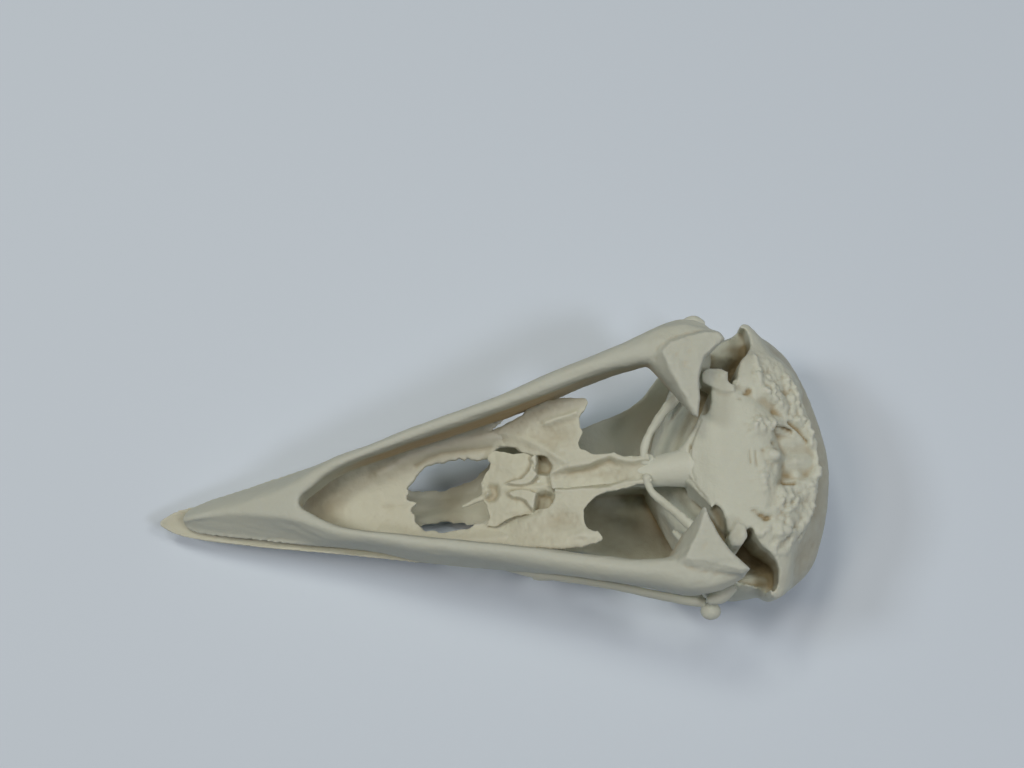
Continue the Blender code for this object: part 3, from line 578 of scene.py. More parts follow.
def bone_finish_and_shade_group():
    """Shader group for every bone: mottled cream that turns to a warm brown painted shade in hollows,
    and paler on raised edges and in patches of painted light, with fine pores. It puts out a colour
    with this painted light and shade, a roughness and a bumped normal."""
    group = bpy.data.node_groups.new("bone_finish_and_shade", "ShaderNodeTree")
    face = group.interface
    for name, kind, default in (("Cream", "NodeSocketColor", CREAM),
                                ("Painted Hollow Shade", "NodeSocketColor", PAINTED_HOLLOW_SHADE),
                                ("Painted Shade Strength", "NodeSocketFloat", 1.0),
                                ("Pore Size", "NodeSocketFloat", 1.0)):
        socket = face.new_socket(name=name, in_out="INPUT", socket_type=kind)
        socket.default_value = default
    for name, kind in (("Color", "NodeSocketColor"), ("Roughness", "NodeSocketFloat"),
                       ("Normal", "NodeSocketVector")):
        face.new_socket(name=name, in_out="OUTPUT", socket_type=kind)
    nodes, links = group.nodes, group.links
    given, result = nodes.new("NodeGroupInput").outputs, nodes.new("NodeGroupOutput").inputs
    place = nodes.new("ShaderNodeTexCoord")

    def noise(scale, detail):
        """Noise on Object coordinates, scale in cycles a metre."""
        node = nodes.new("ShaderNodeTexNoise")
        node.inputs["Scale"].default_value = scale
        node.inputs["Detail"].default_value = detail
        links.new(place.outputs["Object"], node.inputs["Vector"])
        return node.outputs["Fac"]

    def spread(source, low, high, to_low, to_high):
        """The source's range from low to high, stretched evenly to the range to_low to to_high."""
        node = nodes.new("ShaderNodeMapRange")
        for key, number in (("From Min", low), ("From Max", high), ("To Min", to_low), ("To Max", to_high)):
            node.inputs[key].default_value = number
        links.new(source, node.inputs["Value"])
        return node.outputs["Result"]

    def feed(socket, source):
        """Links another node's output to the socket, or sets a plain value on it."""
        if isinstance(source, bpy.types.NodeSocket):
            links.new(source, socket)
        else:
            socket.default_value = source

    def mixed(factor, a, b):
        """Colour a where the factor is 0, and b where it is 1."""
        node = nodes.new("ShaderNodeMix")
        node.data_type = "RGBA"
        for key, source in ((0, factor), (6, a), (7, b)):
            feed(node.inputs[key], source)
        return node.outputs[2]

    def sum_or_product(operation, a, b):
        """a + b for ADD, a · b for MULTIPLY."""
        node = nodes.new("ShaderNodeMath")
        node.operation = operation
        feed(node.inputs[0], a)
        feed(node.inputs[1], b)
        return node.outputs[0]

    # The mesh's value of painted light and shade: high values mix in the warm brown painted shade, values
    # below zero the pale colour of raised edges and painted light
    depth = nodes.new("ShaderNodeAttribute")
    depth.attribute_name = "painted_shade"
    hollow_shade = spread(depth.outputs["Fac"], 0.06, 0.9, 0.0, 1.0)
    edge = spread(depth.outputs["Fac"], -0.1, -1.0, 0.0, 0.35)
    mottle = spread(noise(140.0, 3.0), 0.35, 0.7, 0.0, 0.22)
    colour = mixed(mottle, given["Cream"], DARK_CREAM)
    colour = mixed(edge, colour, PALE_EDGE_AND_PAINTED_LIGHT)
    shade_share = sum_or_product("MULTIPLY", hollow_shade, given["Painted Shade Strength"])
    links.new(mixed(shade_share, colour, given["Painted Hollow Shade"]), result["Color"])
    links.new(spread(noise(900.0, 3.0), 0.3, 0.7, 0.52, 0.68), result["Roughness"])
    bump = nodes.new("ShaderNodeBump")
    bump.inputs["Strength"].default_value = 0.6
    bump.inputs["Distance"].default_value = 0.00012
    wide_pores = sum_or_product("MULTIPLY", noise(800.0, 3.0), 1.4)
    pores = sum_or_product("ADD", noise(2600.0, 4.0), wide_pores)
    links.new(sum_or_product("MULTIPLY", pores, given["Pore Size"]), bump.inputs["Height"])
    links.new(bump.outputs["Normal"], result["Normal"])
    return group


BONE_FINISH_AND_SHADE = bone_finish_and_shade_group()


def bone_material(name, cream=CREAM, shade_strength=1.0, pores=1.0, painted_shade=PAINTED_HOLLOW_SHADE):
    """Dry bone: the group's colour with its painted light and shade, its roughness and normal, on a slightly
    waxy shader.
    """
    material = bpy.data.materials.new(name)
    material.use_nodes = True
    nodes, links = material.node_tree.nodes, material.node_tree.links
    shader = nodes["Principled BSDF"]
    finish_and_shade = nodes.new("ShaderNodeGroup")
    finish_and_shade.node_tree = BONE_FINISH_AND_SHADE
    for key, value in (("Cream", cream), ("Painted Hollow Shade", painted_shade), ("Painted Shade Strength", shade_strength),
                       ("Pore Size", pores)):
        finish_and_shade.inputs[key].default_value = value
    for key, socket in (("Color", "Base Color"), ("Roughness", "Roughness"), ("Normal", "Normal")):
        links.new(finish_and_shade.outputs[key], shader.inputs[socket])
    for key, value in (("Specular IOR Level", 0.35), ("Subsurface Weight", 0.12),
                       ("Subsurface Radius", (0.0012, 0.0009, 0.0006)), ("Subsurface Scale", 1.0)):
        shader.inputs[key].default_value = value
    return material


def set_in_skull(obj, name, material, *cad_nodes):
    """Gives the bone its material and its place in the skull, in place of its CAD nodes."""
    obj.name = name
    obj.data.materials.clear()
    obj.data.materials.append(material)
    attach(obj, "root")
    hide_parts(*cad_nodes)


case_bone = bone_material("case_bone")
set_in_skull(cranium, "cranium_bone", case_bone, "cranium")


# The rostrum
# A slim bar of bone on the midline under the orbits, round behind where it grows out of the
# base plate and narrower in front, where the palate rests against it.

def rostrum_relief(points, normals):
    """A faint ring crack where the bar meets the base plate, and long shallow lumps."""
    height = line_height(points, [(87.3, 3.0), (87.8, 0.0), (87.3, -3.0)], 0.16, -0.3)
    return height + 0.05 * lumps(points, (6.0, 1.2, 1.2), 11)


rostrum = tube("rostrum", [(63.6, 0, 19.2), (70, -0.2, 20.0), (76, -0.4, 21.0), (80, -0.4, 22.3),
                           (84, -0.3, 23.8), (87.0, -0.3, 24.5), (88.6, -0.3, 24.8)],
               (0.8, 0.9, 1.2, 2.1, 2.6, 3.1, 3.4), around=40)
rostrum = fine_bone(rostrum, 0.25, 2, rostrum_relief)
rostrum_bone = bone_material("rostrum_bone", (0.69, 0.70, 0.60, 1), pores=0.6)
set_in_skull(rostrum, "rostrum_bone", rostrum_bone, "rostrum")


# The upper bill
# The long pointed upper jaw: thin walls of bone around a hollow, with a large nostril on each
# side, a troughed palate with a ragged gap in it, and the horny edge that meets the lower jaw.

def gape(s):
    """Height of the line where the two bills meet: 5.3 mm at the tip, rising 0.228 mm for each
    millimetre back."""
    return 5.3 + 0.228 * s


# Along the bill: half width, height of the ridge, roundness, depth of the palate's vault, and
# the thickness of the walls
BILL_WIDTH = through((0, 0.4), (0.5, 0.8), (1.2, 1.25), (1.9, 1.65), (3.3, 2.15), (4.5, 2.5),
                     (8.5, 3.6), (14.6, 4.95), (21, 6.25), (30, 8.0), (36, 9.2), (47, 11.7), (53, 12.6),
                     (58, 13.3), (66, 14.0))
RIDGE = through((0, 5.5), (0.6, 4.7), (2, 3.8), (6, 2.4), (10, 1.4), (15, 0.7), (20, 0.3), (28, 0.02),
                (40, 0.02), (50, 0.6), (57, 1.9), (64, 3.2))
BILL_ROUNDNESS = through((0, 2.0), (12, 1.7), (30, 1.35), (45, 1.25), (55, 1.6), (62, 2.2))
PALATE_VAULT = through((0, 0.1), (8, 0.8), (20, 1.7), (40, 2.2), (60, 2.0))
WALL = 1.4


def bill_rings(s, inset=0.0):
    """Bill section: z = edge - depth·(1 - |y / width|^p)^(1/p) below, closed above by the
    vaulted palate. With an inset it is the hollow inside the walls. As on this skull, the middle
    lies 0.28 mm to the right and the left side is up to 9 % narrower."""
    s = s[:, None]
    edge = gape(s) + 0.9 * np.maximum(1.0 - s / 3.0, 0.0) ** 2
    width, power = BILL_WIDTH(s) - inset * 1.15, BILL_ROUNDNESS(s)
    top, low = edge - inset * 0.4, RIDGE(s) + inset * 1.1
    k = np.linspace(-1, 1, 41)[None]
    y = width * np.sign(k) * np.abs(k) ** 0.85
    aside = -0.28 * ramp(s, 1.0, 6.0) * ramp(-s, -52.0, -36.0)
    rest = np.maximum(1.0 - (np.abs(y) / width) ** power, 0.0)
    narrow = 1.0 - 0.09 * ramp(s, 3.0, 8.0) * ramp(-s, -56.0, -44.0)
    y = np.where(y > 0, y * narrow, y)
    wall = np.stack(np.broadcast_arrays(s, y + aside, top - (top - low) * rest ** (1.0 / power)), -1)
    lip = np.minimum(0.15, 0.05 * (top - low))
    vault = np.minimum(PALATE_VAULT(s) + inset * 0.75, 0.3 * (top - low))
    t = np.linspace(0.9, -0.9, 31)[None]
    across = t * width * np.where(t > 0, narrow, 1.0)
    roof = np.stack(np.broadcast_arrays(s, across + aside, top - lip - vault * (1 - t * t) ** 0.7), -1)
    return np.concatenate([wall, roof], 1)


def ragged(outline, steps, size, seed):
    """Closed plan outline with small teeth: resampled evenly, each point moved by up to size."""
    outline = np.array(outline, float)
    closed = np.concatenate([outline, outline[:1]])
    t = np.concatenate(([0.0], np.cumsum(np.linalg.norm(np.diff(closed, axis=0), axis=1))))
    fine = np.linspace(0, t[-1], steps, endpoint=False)
    smooth = np.stack([np.interp(fine, t, closed[:, k]) for k in range(2)], 1)
    shake = np.random.default_rng(seed).uniform(-size, size, (steps, 2))
    return smooth + 0.5 * (shake + np.roll(shake, 1, axis=0))


# Side outline of the nostril, as (s, z)
NOSTRIL = [(36.5, 6.9), (39, 4.7), (43, 3.2), (48, 2.7), (53, 3.3), (56, 5.0), (57.2, 8.0),
           (56.6, 11.0), (53.5, 12.5), (48.5, 12.1), (43.0, 10.5), (39, 8.8)]

# Plan outlines of the slot for the vomer and palatines, and of the window before the cheek bar
REAR_SLOT = [(54.0, -4.9), (72.0, -4.9), (72.0, 6.7), (58.0, 6.7), (57.1, 6.3), (56.8, 5.2), (54.0, 4.9)]
SIDE_WINDOW = [(56.8, 9.0), (57.2, 9.9), (58.4, 10.75), (60.5, 12.0), (62.8, 12.6), (66.0, 13.2),
               (66.0, 9.5), (60.0, 8.6)]

# The large gap between the bars of the palate
PALATE_GAP = [(43.3, 2.8), (43.9, 3.6), (44.6, 4.2), (45.7, 5.1), (46.4, 5.1), (47.8, 5.5), (48.5, 5.2),
              (49.4, 5.6), (50.6, 5.5), (51.3, 5.9), (52.0, 5.3), (52.8, 5.6), (53.8, 5.1), (54.7, 5.0),
              (55.7, 5.2), (56.8, 4.6), (57.6, 0.0), (56.8, -4.6), (54.6, -5.4), (53.4, -5.5),
              (52.1, -6.0), (50.6, -6.0), (48.7, -6.2), (47.3, -6.4), (46.2, -5.6), (45.0, -5.8),
              (44.3, -5.0), (43.4, -4.3), (43.4, -2.9), (42.5, -1.7), (43.9, -0.8), (41.8, -0.1),
              (42.7, 1.1), (42.2, 2.0)]


def build_upper_bill():
    """The bill section from tip to hinge, less the hollow inside, the window in front of the
    left cheek bar, the nostrils, the gap in the palate, the slot under the vomer and palatines,
    and all that lies behind the slanting hinge."""
    s = np.concatenate([[0.0, 0.25, 0.6, 1.2, 2.0, 3.0], np.linspace(4.0, 66.0, 60)])
    bill = loft("upper bill", bill_rings(s))
    joint_gap = 0.3
    low, high = np.array([(BILL_HINGE + joint_gap, RIDGE(BILL_HINGE)), (58.5, 18.5)])
    front, back = low - (high - low) * 2, high + (high - low) * 2
    behind = upright("behind", [tuple(front), tuple(back), (90, back[1]), (90, front[1])], 0.0, 60.0)
    hollow = loft("hollow", bill_rings(np.linspace(35.0, 70.0, 36), WALL))
    nostrils = upright("nostrils", NOSTRIL, 0.0, 60.0)
    palate_gap = plate("palate gap", ragged(PALATE_GAP, 140, 0.16, 21), level(10.6), level(22.0))
    rear_slot = plate("rear slot", REAR_SLOT, level(11.0), level(24.0))
    corners = [np.insert(SIDE_WINDOW + np.array((0.004, 0.233)) * drop, 2, 17.0 - drop, axis=1)
               for drop in (-7.0, 18.0)]
    side_window = loft("side window", np.stack(corners))
    return combined(bill, [hollow, side_window, nostrils, palate_gap, rear_slot, behind], "DIFFERENCE")


def palate_bars(points):
    """The rounded bar outside the gap on each side, the groove between the left bar and the gap,
    the groove in front of the gap, and a gentle rise towards the palatines."""
    plan = points[:, :2]
    height = lines(plan, ([(38, -0.9), (42.5, -1.0)], 0.35, -0.2),
                   ([(44.0, 5.2), (46.0, 6.2), (48.3, 6.8), (50.6, 6.8), (56.5, 6.7)], 0.4, -0.5),
                   ([(38, 4.6), (43, 6.8), (50, 8.2), (59, 8.8)], 1.1, 0.75),
                   ([(38, -5.2), (43, -7.0), (50, -8.0), (59, -8.6)], 1.1, 0.6))
    return height + 0.35 * ramp(points[:, 0], 50.0, 58.0)


def palate_surface(s, y):
    """Height of the finished palate: gape - 0.15 - vault·(1 - (y / width)²)^0.7, plus its bars."""
    vault = np.minimum(PALATE_VAULT(s), 0.3 * (gape(s) - RIDGE(s)))
    height = gape(s) - 0.15 - vault * np.maximum(1 - (y / BILL_WIDTH(s)) ** 2, 0.0) ** 0.7
    return height + palate_bars(np.stack([s, y], 1))


def upper_bill_relief(points, normals):
    """The bars and grooves of the palate on faces that look up, and a faint grain."""
    up = ramp(normals[:, 2], 0.2, 0.6) * ramp(points[:, 0], 22.0, 28.0) * ramp(points[:, 2], 9.0, 10.0)
    rough = 0.07 * lumps(points, 1.3, 24) + 0.05 * lumps(points, 0.6, 25)
    grain = 0.06 * lumps(points, (3.0, 1.6, 1.6), 22) + 0.02 * lumps(points, 0.8, 23)
    return up * (palate_bars(points) + rough) + grain


def upper_bill_light_and_shade(points):
    """Painted shade in brown at the front end of the palate, inside the notch of the lower jaw, and
    painted light on the left bar, which lies in the lower jaw's shade."""
    s, y, z = points.T
    inside = ramp(z - gape(s) + PALATE_VAULT(s), -0.7, -0.2) * ramp(BILL_WIDTH(s) - np.abs(y), 0.8, 1.6)
    # Painted light along the left bar of the palate
    bar_painted_light = line_height(points, [(40, 5.4), (44, 7.2), (50, 8.2), (59, 8.8)], 0.9, -0.6) * ramp(z, 11.0, 12.5)
    return 0.8 * inside * ramp(-s, -34.0, -27.0) * ramp(s, 24.0, 26.0) + bar_painted_light


def upper_bill_blend(points):
    """Smooths the sharp edges that meet the lower jaw and the bar between the nostrils."""
    s, y, z = points.T
    edge = ramp(np.abs(y) - BILL_WIDTH(s) * 0.9, -0.8, 0.0) * ramp(z - gape(s), -1.6, -1.0)
    return np.maximum(0.14 * edge * ramp(s, 4.0, 7.0), 0.2 * ramp(-z, -7.0, -5.0) * ramp(s, 35.0, 38.0))


upper_bill = fine_bone(build_upper_bill(), 0.28, 3, upper_bill_relief, upper_bill_blend,
                       painted_light_and_shade=upper_bill_light_and_shade)
bill_bone = bone_material("bill_bone", (0.60, 0.585, 0.465, 1), 0.6, 0.8)
set_in_skull(upper_bill, "upper_bill_bone", bill_bone, "upper_bill")


# The vomer
# The middle piece of the palate: a shell of bone on each side of the midline whose free edges
# roll up into two comma-shaped leaves, with a small cup and a splinter at the front.

# Plan outlines: both shells together, the leaf of each, the airway opening behind each (choana)
# and the cup in front
VOMER = [(54.6, 0.9), (55.0, 1.7), (55.5, 2.5), (56.1, 3.1), (56.4, 3.9), (55.9, 4.5), (56.0, 5.4),
         (56.9, 5.9), (57.6, 5.9), (58.5, 5.5), (59.6, 5.2), (60.4, 4.9), (61.1, 5.0), (62.8, 4.9),
         (64.0, 4.9), (65.6, 4.4), (66.6, 3.2), (66.9, 1.9), (66.9, -3.5), (66.2, -4.6), (64.9, -5.5),
         (63.0, -5.4), (61.3, -5.1), (59.6, -5.2), (58.0, -5.7), (56.6, -6.4), (54.9, -6.1),
         (55.4, -5.4), (55.6, -4.7), (55.4, -3.4), (55.2, -2.6), (54.9, -2.0), (54.7, -0.6)]
LEAF_LEFT = [(58.5, 0.2), (59.6, 0.5), (60.6, 0.6), (61.3, 0.7), (61.8, 1.2), (62.5, 1.8), (62.9, 2.8),
             (62.8, 3.8), (63.3, 4.2), (64.0, 4.3), (63.9, 3.0), (63.5, 2.2), (63.7, 0.9), (63.3, 0.4),
             (62.6, -0.2), (61.7, -0.4), (60.8, -0.4), (59.9, -0.2)]
LEAF_RIGHT = [(58.8, -1.6), (59.0, -1.2), (60.0, -1.1), (61.1, -1.1), (62.4, -1.4), (63.4, -2.0),
              (63.2, -2.8), (63.0, -3.4), (62.8, -4.2), (62.6, -4.8), (62.0, -3.8), (61.5, -3.0),
              (60.5, -2.4), (59.6, -2.3)]
CHOANA_LEFT = [(64.0, 4.6), (65.4, 4.4), (66.3, 3.4), (66.4, 2.0), (66.0, 1.3), (65.3, 1.1),
               (63.8, 1.4), (63.9, 3.0)]
CHOANA_RIGHT = [(63.6, -2.0), (64.8, -1.8), (65.8, -2.3), (66.4, -3.3), (65.8, -4.4), (64.8, -5.2),
                (63.0, -5.0), (63.2, -3.3)]
CUP = [(55.9, 0.5), (57.2, 0.2), (57.4, -0.5), (57.3, -1.5), (56.7, -2.2), (55.7, -2.3), (55.1, -1.9),
       (56.1, -0.8), (55.8, 0.0)]

# Height over the gape line, and half the thickness of the thin shells and blades of the palate
VOMER_LEVEL = through((51, -1.3), (55, -1.1), (58, -0.6), (62, -0.2), (65, -0.35), (67, -0.8))
HALF_SHEET = 0.45


def build_vomer():
    """A thin flat shell with a ragged edge and a splinter at its front, both still at height 0."""
    shell = plate("shells", ragged(VOMER, 130, 0.1, 31), level(-HALF_SHEET), level(HALF_SHEET))
    splinter = tube("splinter", [(55.6, -1.0, 0.0), (54.2, -1.6, 0.1), (52.6, -2.1, 0.0),
                                 (51.3, -2.5, 0.0)], (0.6, 0.45, 0.35, 0.2), around=12, steps=20)
    return combined(shell, [splinter], "UNION")


def vomer_drape(points):
    """Level of the shells plus leaves raised by 1 mm, two openings sunk by 1.5 mm, the sunk cup,
    the small knobs, a midline ridge and a groove across the left leaf."""
    s = points[:, 0]
    height = gape(s) + VOMER_LEVEL(s)
    height += spots(points, ((59.2, 2.9), (2.6, 1.5), 0.45), ((58.6, -4.0), (2.6, 1.2), 0.35),
                    ((54.8, 0.3), (0.5, 0.6), 0.6), ((55.6, -1.2), (0.45, 0.6), 0.8))
    for outline, rise, soft in ((LEAF_LEFT, 1.05, 0.12), (LEAF_RIGHT, 1.0, 0.12), (CHOANA_LEFT, -1.5, 0.45),
                                (CHOANA_RIGHT, -1.5, 0.45), (CUP, -0.8, 0.45)):
        height += field(points, outline, rise, soft)
    return height + lines(points, ([(58.1, -0.4), (60.0, -0.6), (62.4, -0.9), (67.2, -0.8)], 0.5, 0.3),
                          ([(63.0, 3.2), (63.2, 2.4), (63.5, 1.6)], 0.14, -0.6))


def fine_grain(points, normals):
    """Uneven skin of thin bone: lumps 1.3 mm and 0.55 mm wide."""
    return 0.08 * lumps(points, 1.3, 32) + 0.06 * lumps(points, 0.55, 33)


def vomer_shade(points):
    """Painted shade in brown in both openings and the cup, and along the shaded channel at the right outer
    edge.
    """
    hole_shade = [field(points, outline, share, 0.4)
             for outline, share in ((CHOANA_LEFT, 0.35), (CHOANA_RIGHT, 0.35), (CUP, 0.3))]
    return sum(hole_shade) + line_height(points, [(56.7, -6.4), (59.7, -5.3), (63.1, -4.8)], 0.4, 0.5)


vomer = fine_bone(build_vomer(), 0.14, 1, fine_grain, drape=vomer_drape, painted_light_and_shade=vomer_shade)
vomer_bone = bone_material("vomer_bone", (0.61, 0.60, 0.475, 1), 0.8, 0.6)
set_in_skull(vomer, "vomer_bone", vomer_bone, "vomer")


# The palatines
# A broad, gently cupped blade of bone on each side behind the palate, with a rounded point at
# its rear outer corner, a bay beside it and a thin crest that runs back beside the midline.

# Plan outlines of the blades, the paths of their crests, and their height over the gape line
PALATINE_LEFT = [(55.4, 6.4), (55.4, 9.2), (57.4, 9.6), (60.3, 10.45), (62.2, 11.1), (62.8, 12.0),
                 (64.0, 12.6), (65.9, 12.8), (68.3, 12.8), (70.7, 12.6), (72.4, 12.2), (72.7, 11.6),
                 (72.1, 10.5), (71.4, 9.9), (70.9, 9.0), (71.1, 7.7), (71.5, 7.0), (70.9, 6.0),
                 (70.5, 5.1), (70.8, 4.2), (72.0, 3.6), (73.5, 3.0), (76.0, 3.0), (77.6, 2.2),
                 (79.5, 2.1), (81.4, 2.3), (81.4, -1.7), (65.8, -1.6), (65.6, 0.9), (66.3, 1.9),
                 (65.9, 2.9), (65.2, 3.7), (62.8, 4.5), (61.5, 5.0), (60.6, 6.0), (58.9, 6.6),
                 (57.3, 6.7)]
PALATINE_RIGHT = [(55.4, -6.8), (55.4, -9.5), (60.1, -10.2), (64.0, -11.0), (67.1, -11.4),
                  (69.4, -11.4), (71.8, -11.1), (72.9, -10.7), (73.0, -10.1), (72.4, -9.2),
                  (70.9, -8.6), (70.4, -7.7), (70.3, -6.8), (70.6, -5.5), (71.3, -4.5), (72.5, -3.6),
                  (74.0, -3.1), (76.5, -2.9), (79.0, -2.5), (81.4, -2.4), (81.4, -1.1), (66.3, -1.1),
                  (66.1, -3.2), (65.5, -4.2), (64.8, -4.7), (63.0, -4.5), (61.3, -4.6), (59.6, -4.9),
                  (58.0, -5.3), (56.4, -6.2)]
CREST_LEFT = [(66.1, 1.0), (67.4, 1.3), (69.7, 1.4), (72.1, 1.5), (73.7, 2.0), (75.3, 2.4), (76.5, 1.8),
              (77.6, 1.5), (78.7, 1.3), (81.5, 1.4)]
CREST_RIGHT = [(66.4, -2.0), (70.2, -1.9), (73.4, -2.2), (74.6, -2.3), (75.7, -2.0), (77.3, -1.8),
               (79.3, -1.9), (81.5, -1.9)]
PALATINE_LEVEL = through((54.5, -1.6), (57.3, -1.0), (60, -0.4), (64, 1.0), (68, 1.6), (82, 1.5))

# Crests, ribs and grooves of both blades, (path, width, height)
PALATINE_LINES = [
    (CREST_LEFT, 0.35, 0.45), (CREST_RIGHT, 0.35, 0.4),
    ([(58.3, 8.7), (61.4, 7.4), (64.5, 5.5), (66.7, 3.6), (68.2, 2.4)], 0.6, 0.45),
    ([(65.6, 9.0), (67.7, 9.4), (70.5, 10.0)], 0.5, 0.6),
    ([(58.0, 9.3), (60.4, 10.0), (62.8, 11.4), (65.6, 12.2)], 0.6, 0.35),
    ([(58.0, -9.4), (62.0, -10.2), (67.0, -10.8)], 0.7, 0.4),
    ([(58.1, 8.6), (58.7, 7.5), (59.1, 6.5)], 0.12, -0.25),
    ([(56.4, -6.3), (58.0, -5.8), (59.7, -5.3), (61.5, -5.0), (63.2, -4.7)], 0.5, -0.8),
]


def palatine_drape(points):
    """Level of the blade plus its cupped field, the ribs, and the trough between the crests.
    In front the blade dives under the surface of the palate."""
    s, y = points[:, 0], points[:, 1]
    height = gape(s) + PALATINE_LEVEL(s) - 0.012 * (np.abs(y) - 7.5) ** 2
    trough = ramp(s, 65.5, 70.0) * (1.5 - 1.2 * ramp(s, 73.0, 81.0))
    height -= field(points, CREST_LEFT + CREST_RIGHT[::-1], 1.0, 0.45) * trough
    height += lines(points, *PALATINE_LINES)
    height += spots(points, ((67.2, 6.8), (3.2, 2.0), -0.95), ((67.0, -6.6), (3.0, 1.6), -0.9),
                    ((68.6, 11.9), (3.0, 0.6), 0.35), ((69.8, -9.9), (2.4, 1.0), 0.65),
                    ((69.4, -10.2), (1.0, 0.4), -0.3))
    height += 0.10 * lumps(points, 2.6, 42)
    front = palate_surface(s, y) - 0.65
    return front + (height - front) * ramp(s, 55.6, 61.0)


def right_palatine_drape(points):
    """The same, with the inner edge sunk under the edge of the left blade."""
    return palatine_drape(points) - 0.5 * ramp(points[:, 1], -1.75, -1.3)


def palatine_light_and_shade(points):
    """Painted shade on the cupped fields and trough, painted light on the rear corners and at the front of
    the left blade.
    """
    return spots(points, ((66.6, 6.8), (4.4, 2.6), 0.24), ((66.0, -7.2), (4.8, 2.2), 0.24),
                 ((75.0, -0.3), (5.0, 1.6), 0.15), ((69.6, 11.2), (2.6, 1.2), -0.45),
                 ((70.2, -10.2), (2.6, 1.2), -0.5), ((59.5, 9.2), (2.0, 0.8), -0.3))


palatine_bone = bone_material("palatine_bone", (0.615, 0.605, 0.485, 1), pores=0.9)
for outline, drape, tag in ((PALATINE_LEFT, palatine_drape, "left"),
                            (PALATINE_RIGHT, right_palatine_drape, "right")):
    blade = plate("blade", ragged(outline, 190, 0.12, 41), level(-HALF_SHEET), level(HALF_SHEET))
    palatine = fine_bone(blade, 0.18, 1, fine_grain, drape=drape, painted_light_and_shade=palatine_light_and_shade)
    set_in_skull(palatine, "palatine_bone_" + tag, palatine_bone, "palatine_" + tag)


# The lacrimals
# A short strut on each side that stands in front of the orbit, from the forehead to the cheek
# bar, swollen at both ends.

def plain_relief(points, normals):
    """Almost smooth skin of thick bone: lumps 1.4 mm and 0.5 mm wide."""
    return 0.05 * lumps(points, 1.4, 51) + 0.02 * lumps(points, 0.5, 52)


for side, tag in ((1, "left"), (-1, "right")):
    lacrimal = tube("lacrimal", [(66.4, side * 9.4, 7.2), (66.6, side * 10.8, 10),
                                 (66.9, side * 12.0, 13.5), (67.2, side * 13.2, 17.6)],
                    (1.6, 1.1, 0.9, 1.1))
    wing = ellipsoid("wing", (66.5, side * 10.5, 10.0), (0.7, 2.2, 3.4))
    lacrimal = fine_bone(combined(lacrimal, [wing], "UNION"), 0.25, 2, plain_relief)
    set_in_skull(lacrimal, "lacrimal_bone_" + tag, case_bone, "lacrimal_" + tag)


# The quadrates
# The hinge block on each side between braincase and lower jaw, with a cup for the cheek bar,
# an arm that runs up into the ear region and one that points into the orbit.

def build_quadrate(side):
    """A leaning block with the neck and rounded heads for the lower jaw, the cheek bar's knob,
    and the ear and eye arms. The outer head and the knob differ from side to side."""
    body = ellipsoid("body", (90.0, side * 17.4, 23.2), (2.7, 4.2, 5.0), lean=10)
    if side > 0:
        facet, knob = [(88.4, 22.4, 26.6), (90.2, 22.4, 27.3), (92.0, 21.9, 27.2)], (88.6, 21.2, 24.0)
    else:
        facet, knob = [(88.0, -21.5, 26.6), (90.0, -20.9, 27.3), (92.3, -19.7, 27.2)], (88.6, -22.9, 24.2)
    pieces = [
        tube("condyle neck", [(90.0, side * 18.4, 24.0), (90.1, side * 20.4, 25.6), facet[1]],
             (1.8, 1.4, 0.7)),
        ellipsoid("inner condyle", (89.3, side * 13.8, 26.2), (2.2, 2.3, 2.6)),
        tube("outer condyle", facet, (0.7, 1.2, 0.65)),
        ellipsoid("cheek knob", knob, (1.6, 1.35, 1.4)),
        tube("ear arm", [(90.6, side * 17.6, 22), (92.4, side * 18.2, 18), (93.6, side * 18.6, 14)],
             (2.4, 1.7, 1.5)),
        tube("eye arm", [(89.6, side * 15.4, 22), (87.0, side * 12.2, 20.6), (84.6, side * 9.4, 19.4)],
             (1.8, 1.0, 0.4)),
    ]
    return combined(body, pieces, "UNION")


for side, tag in ((1, "left"), (-1, "right")):
    quadrate = fine_bone(build_quadrate(side), 0.26, 3, plain_relief)
    set_in_skull(quadrate, "quadrate_bone_" + tag, case_bone, "quadrate_" + tag)


# The pterygoids
# Two slim rods that brace the palate against the quadrates, each with a small knuckle at the
# midline end.

slim_bone = bone_material("slim_bone", shade_strength=0.5, pores=0.5)
for tag, path, knuckle in (
        ("left", [(80.5, 1.2, 24.9), (80.6, 2.4, 24.7), (80.9, 3.5, 24.6), (81.7, 5.3, 24.6),
                  (83.1, 7.2, 24.9), (85.0, 9.4, 25.4), (87.1, 11.3, 26.0)],
         ((81.0, 1.4, 24.7), (1.3, 0.9, 0.5))),
        ("right", [(80.5, -1.6, 25.2), (80.8, -2.6, 25.0), (81.4, -3.9, 24.8), (82.7, -5.3, 24.8),
                   (84.3, -6.9, 25.0), (86.0, -8.8, 25.5), (87.6, -10.8, 26.0)],
         ((80.7, -1.6, 25.3), (0.7, 0.75, 0.6)))):
    rod = tube("rod", path, (0.6, 0.6, 0.62, 0.66, 0.72, 0.8, 0.9))
    pterygoid = fine_bone(combined(rod, [ellipsoid("knuckle", *knuckle)], "UNION"), 0.19, 2, fine_grain)
    set_in_skull(pterygoid, "pterygoid_bone_" + tag, slim_bone, "pterygoid_" + tag)


# The cheek bars
# A bone as thin as a matchstick on each side, from the corner of the bill to the cup on the
# quadrate, bowed a little outwards.

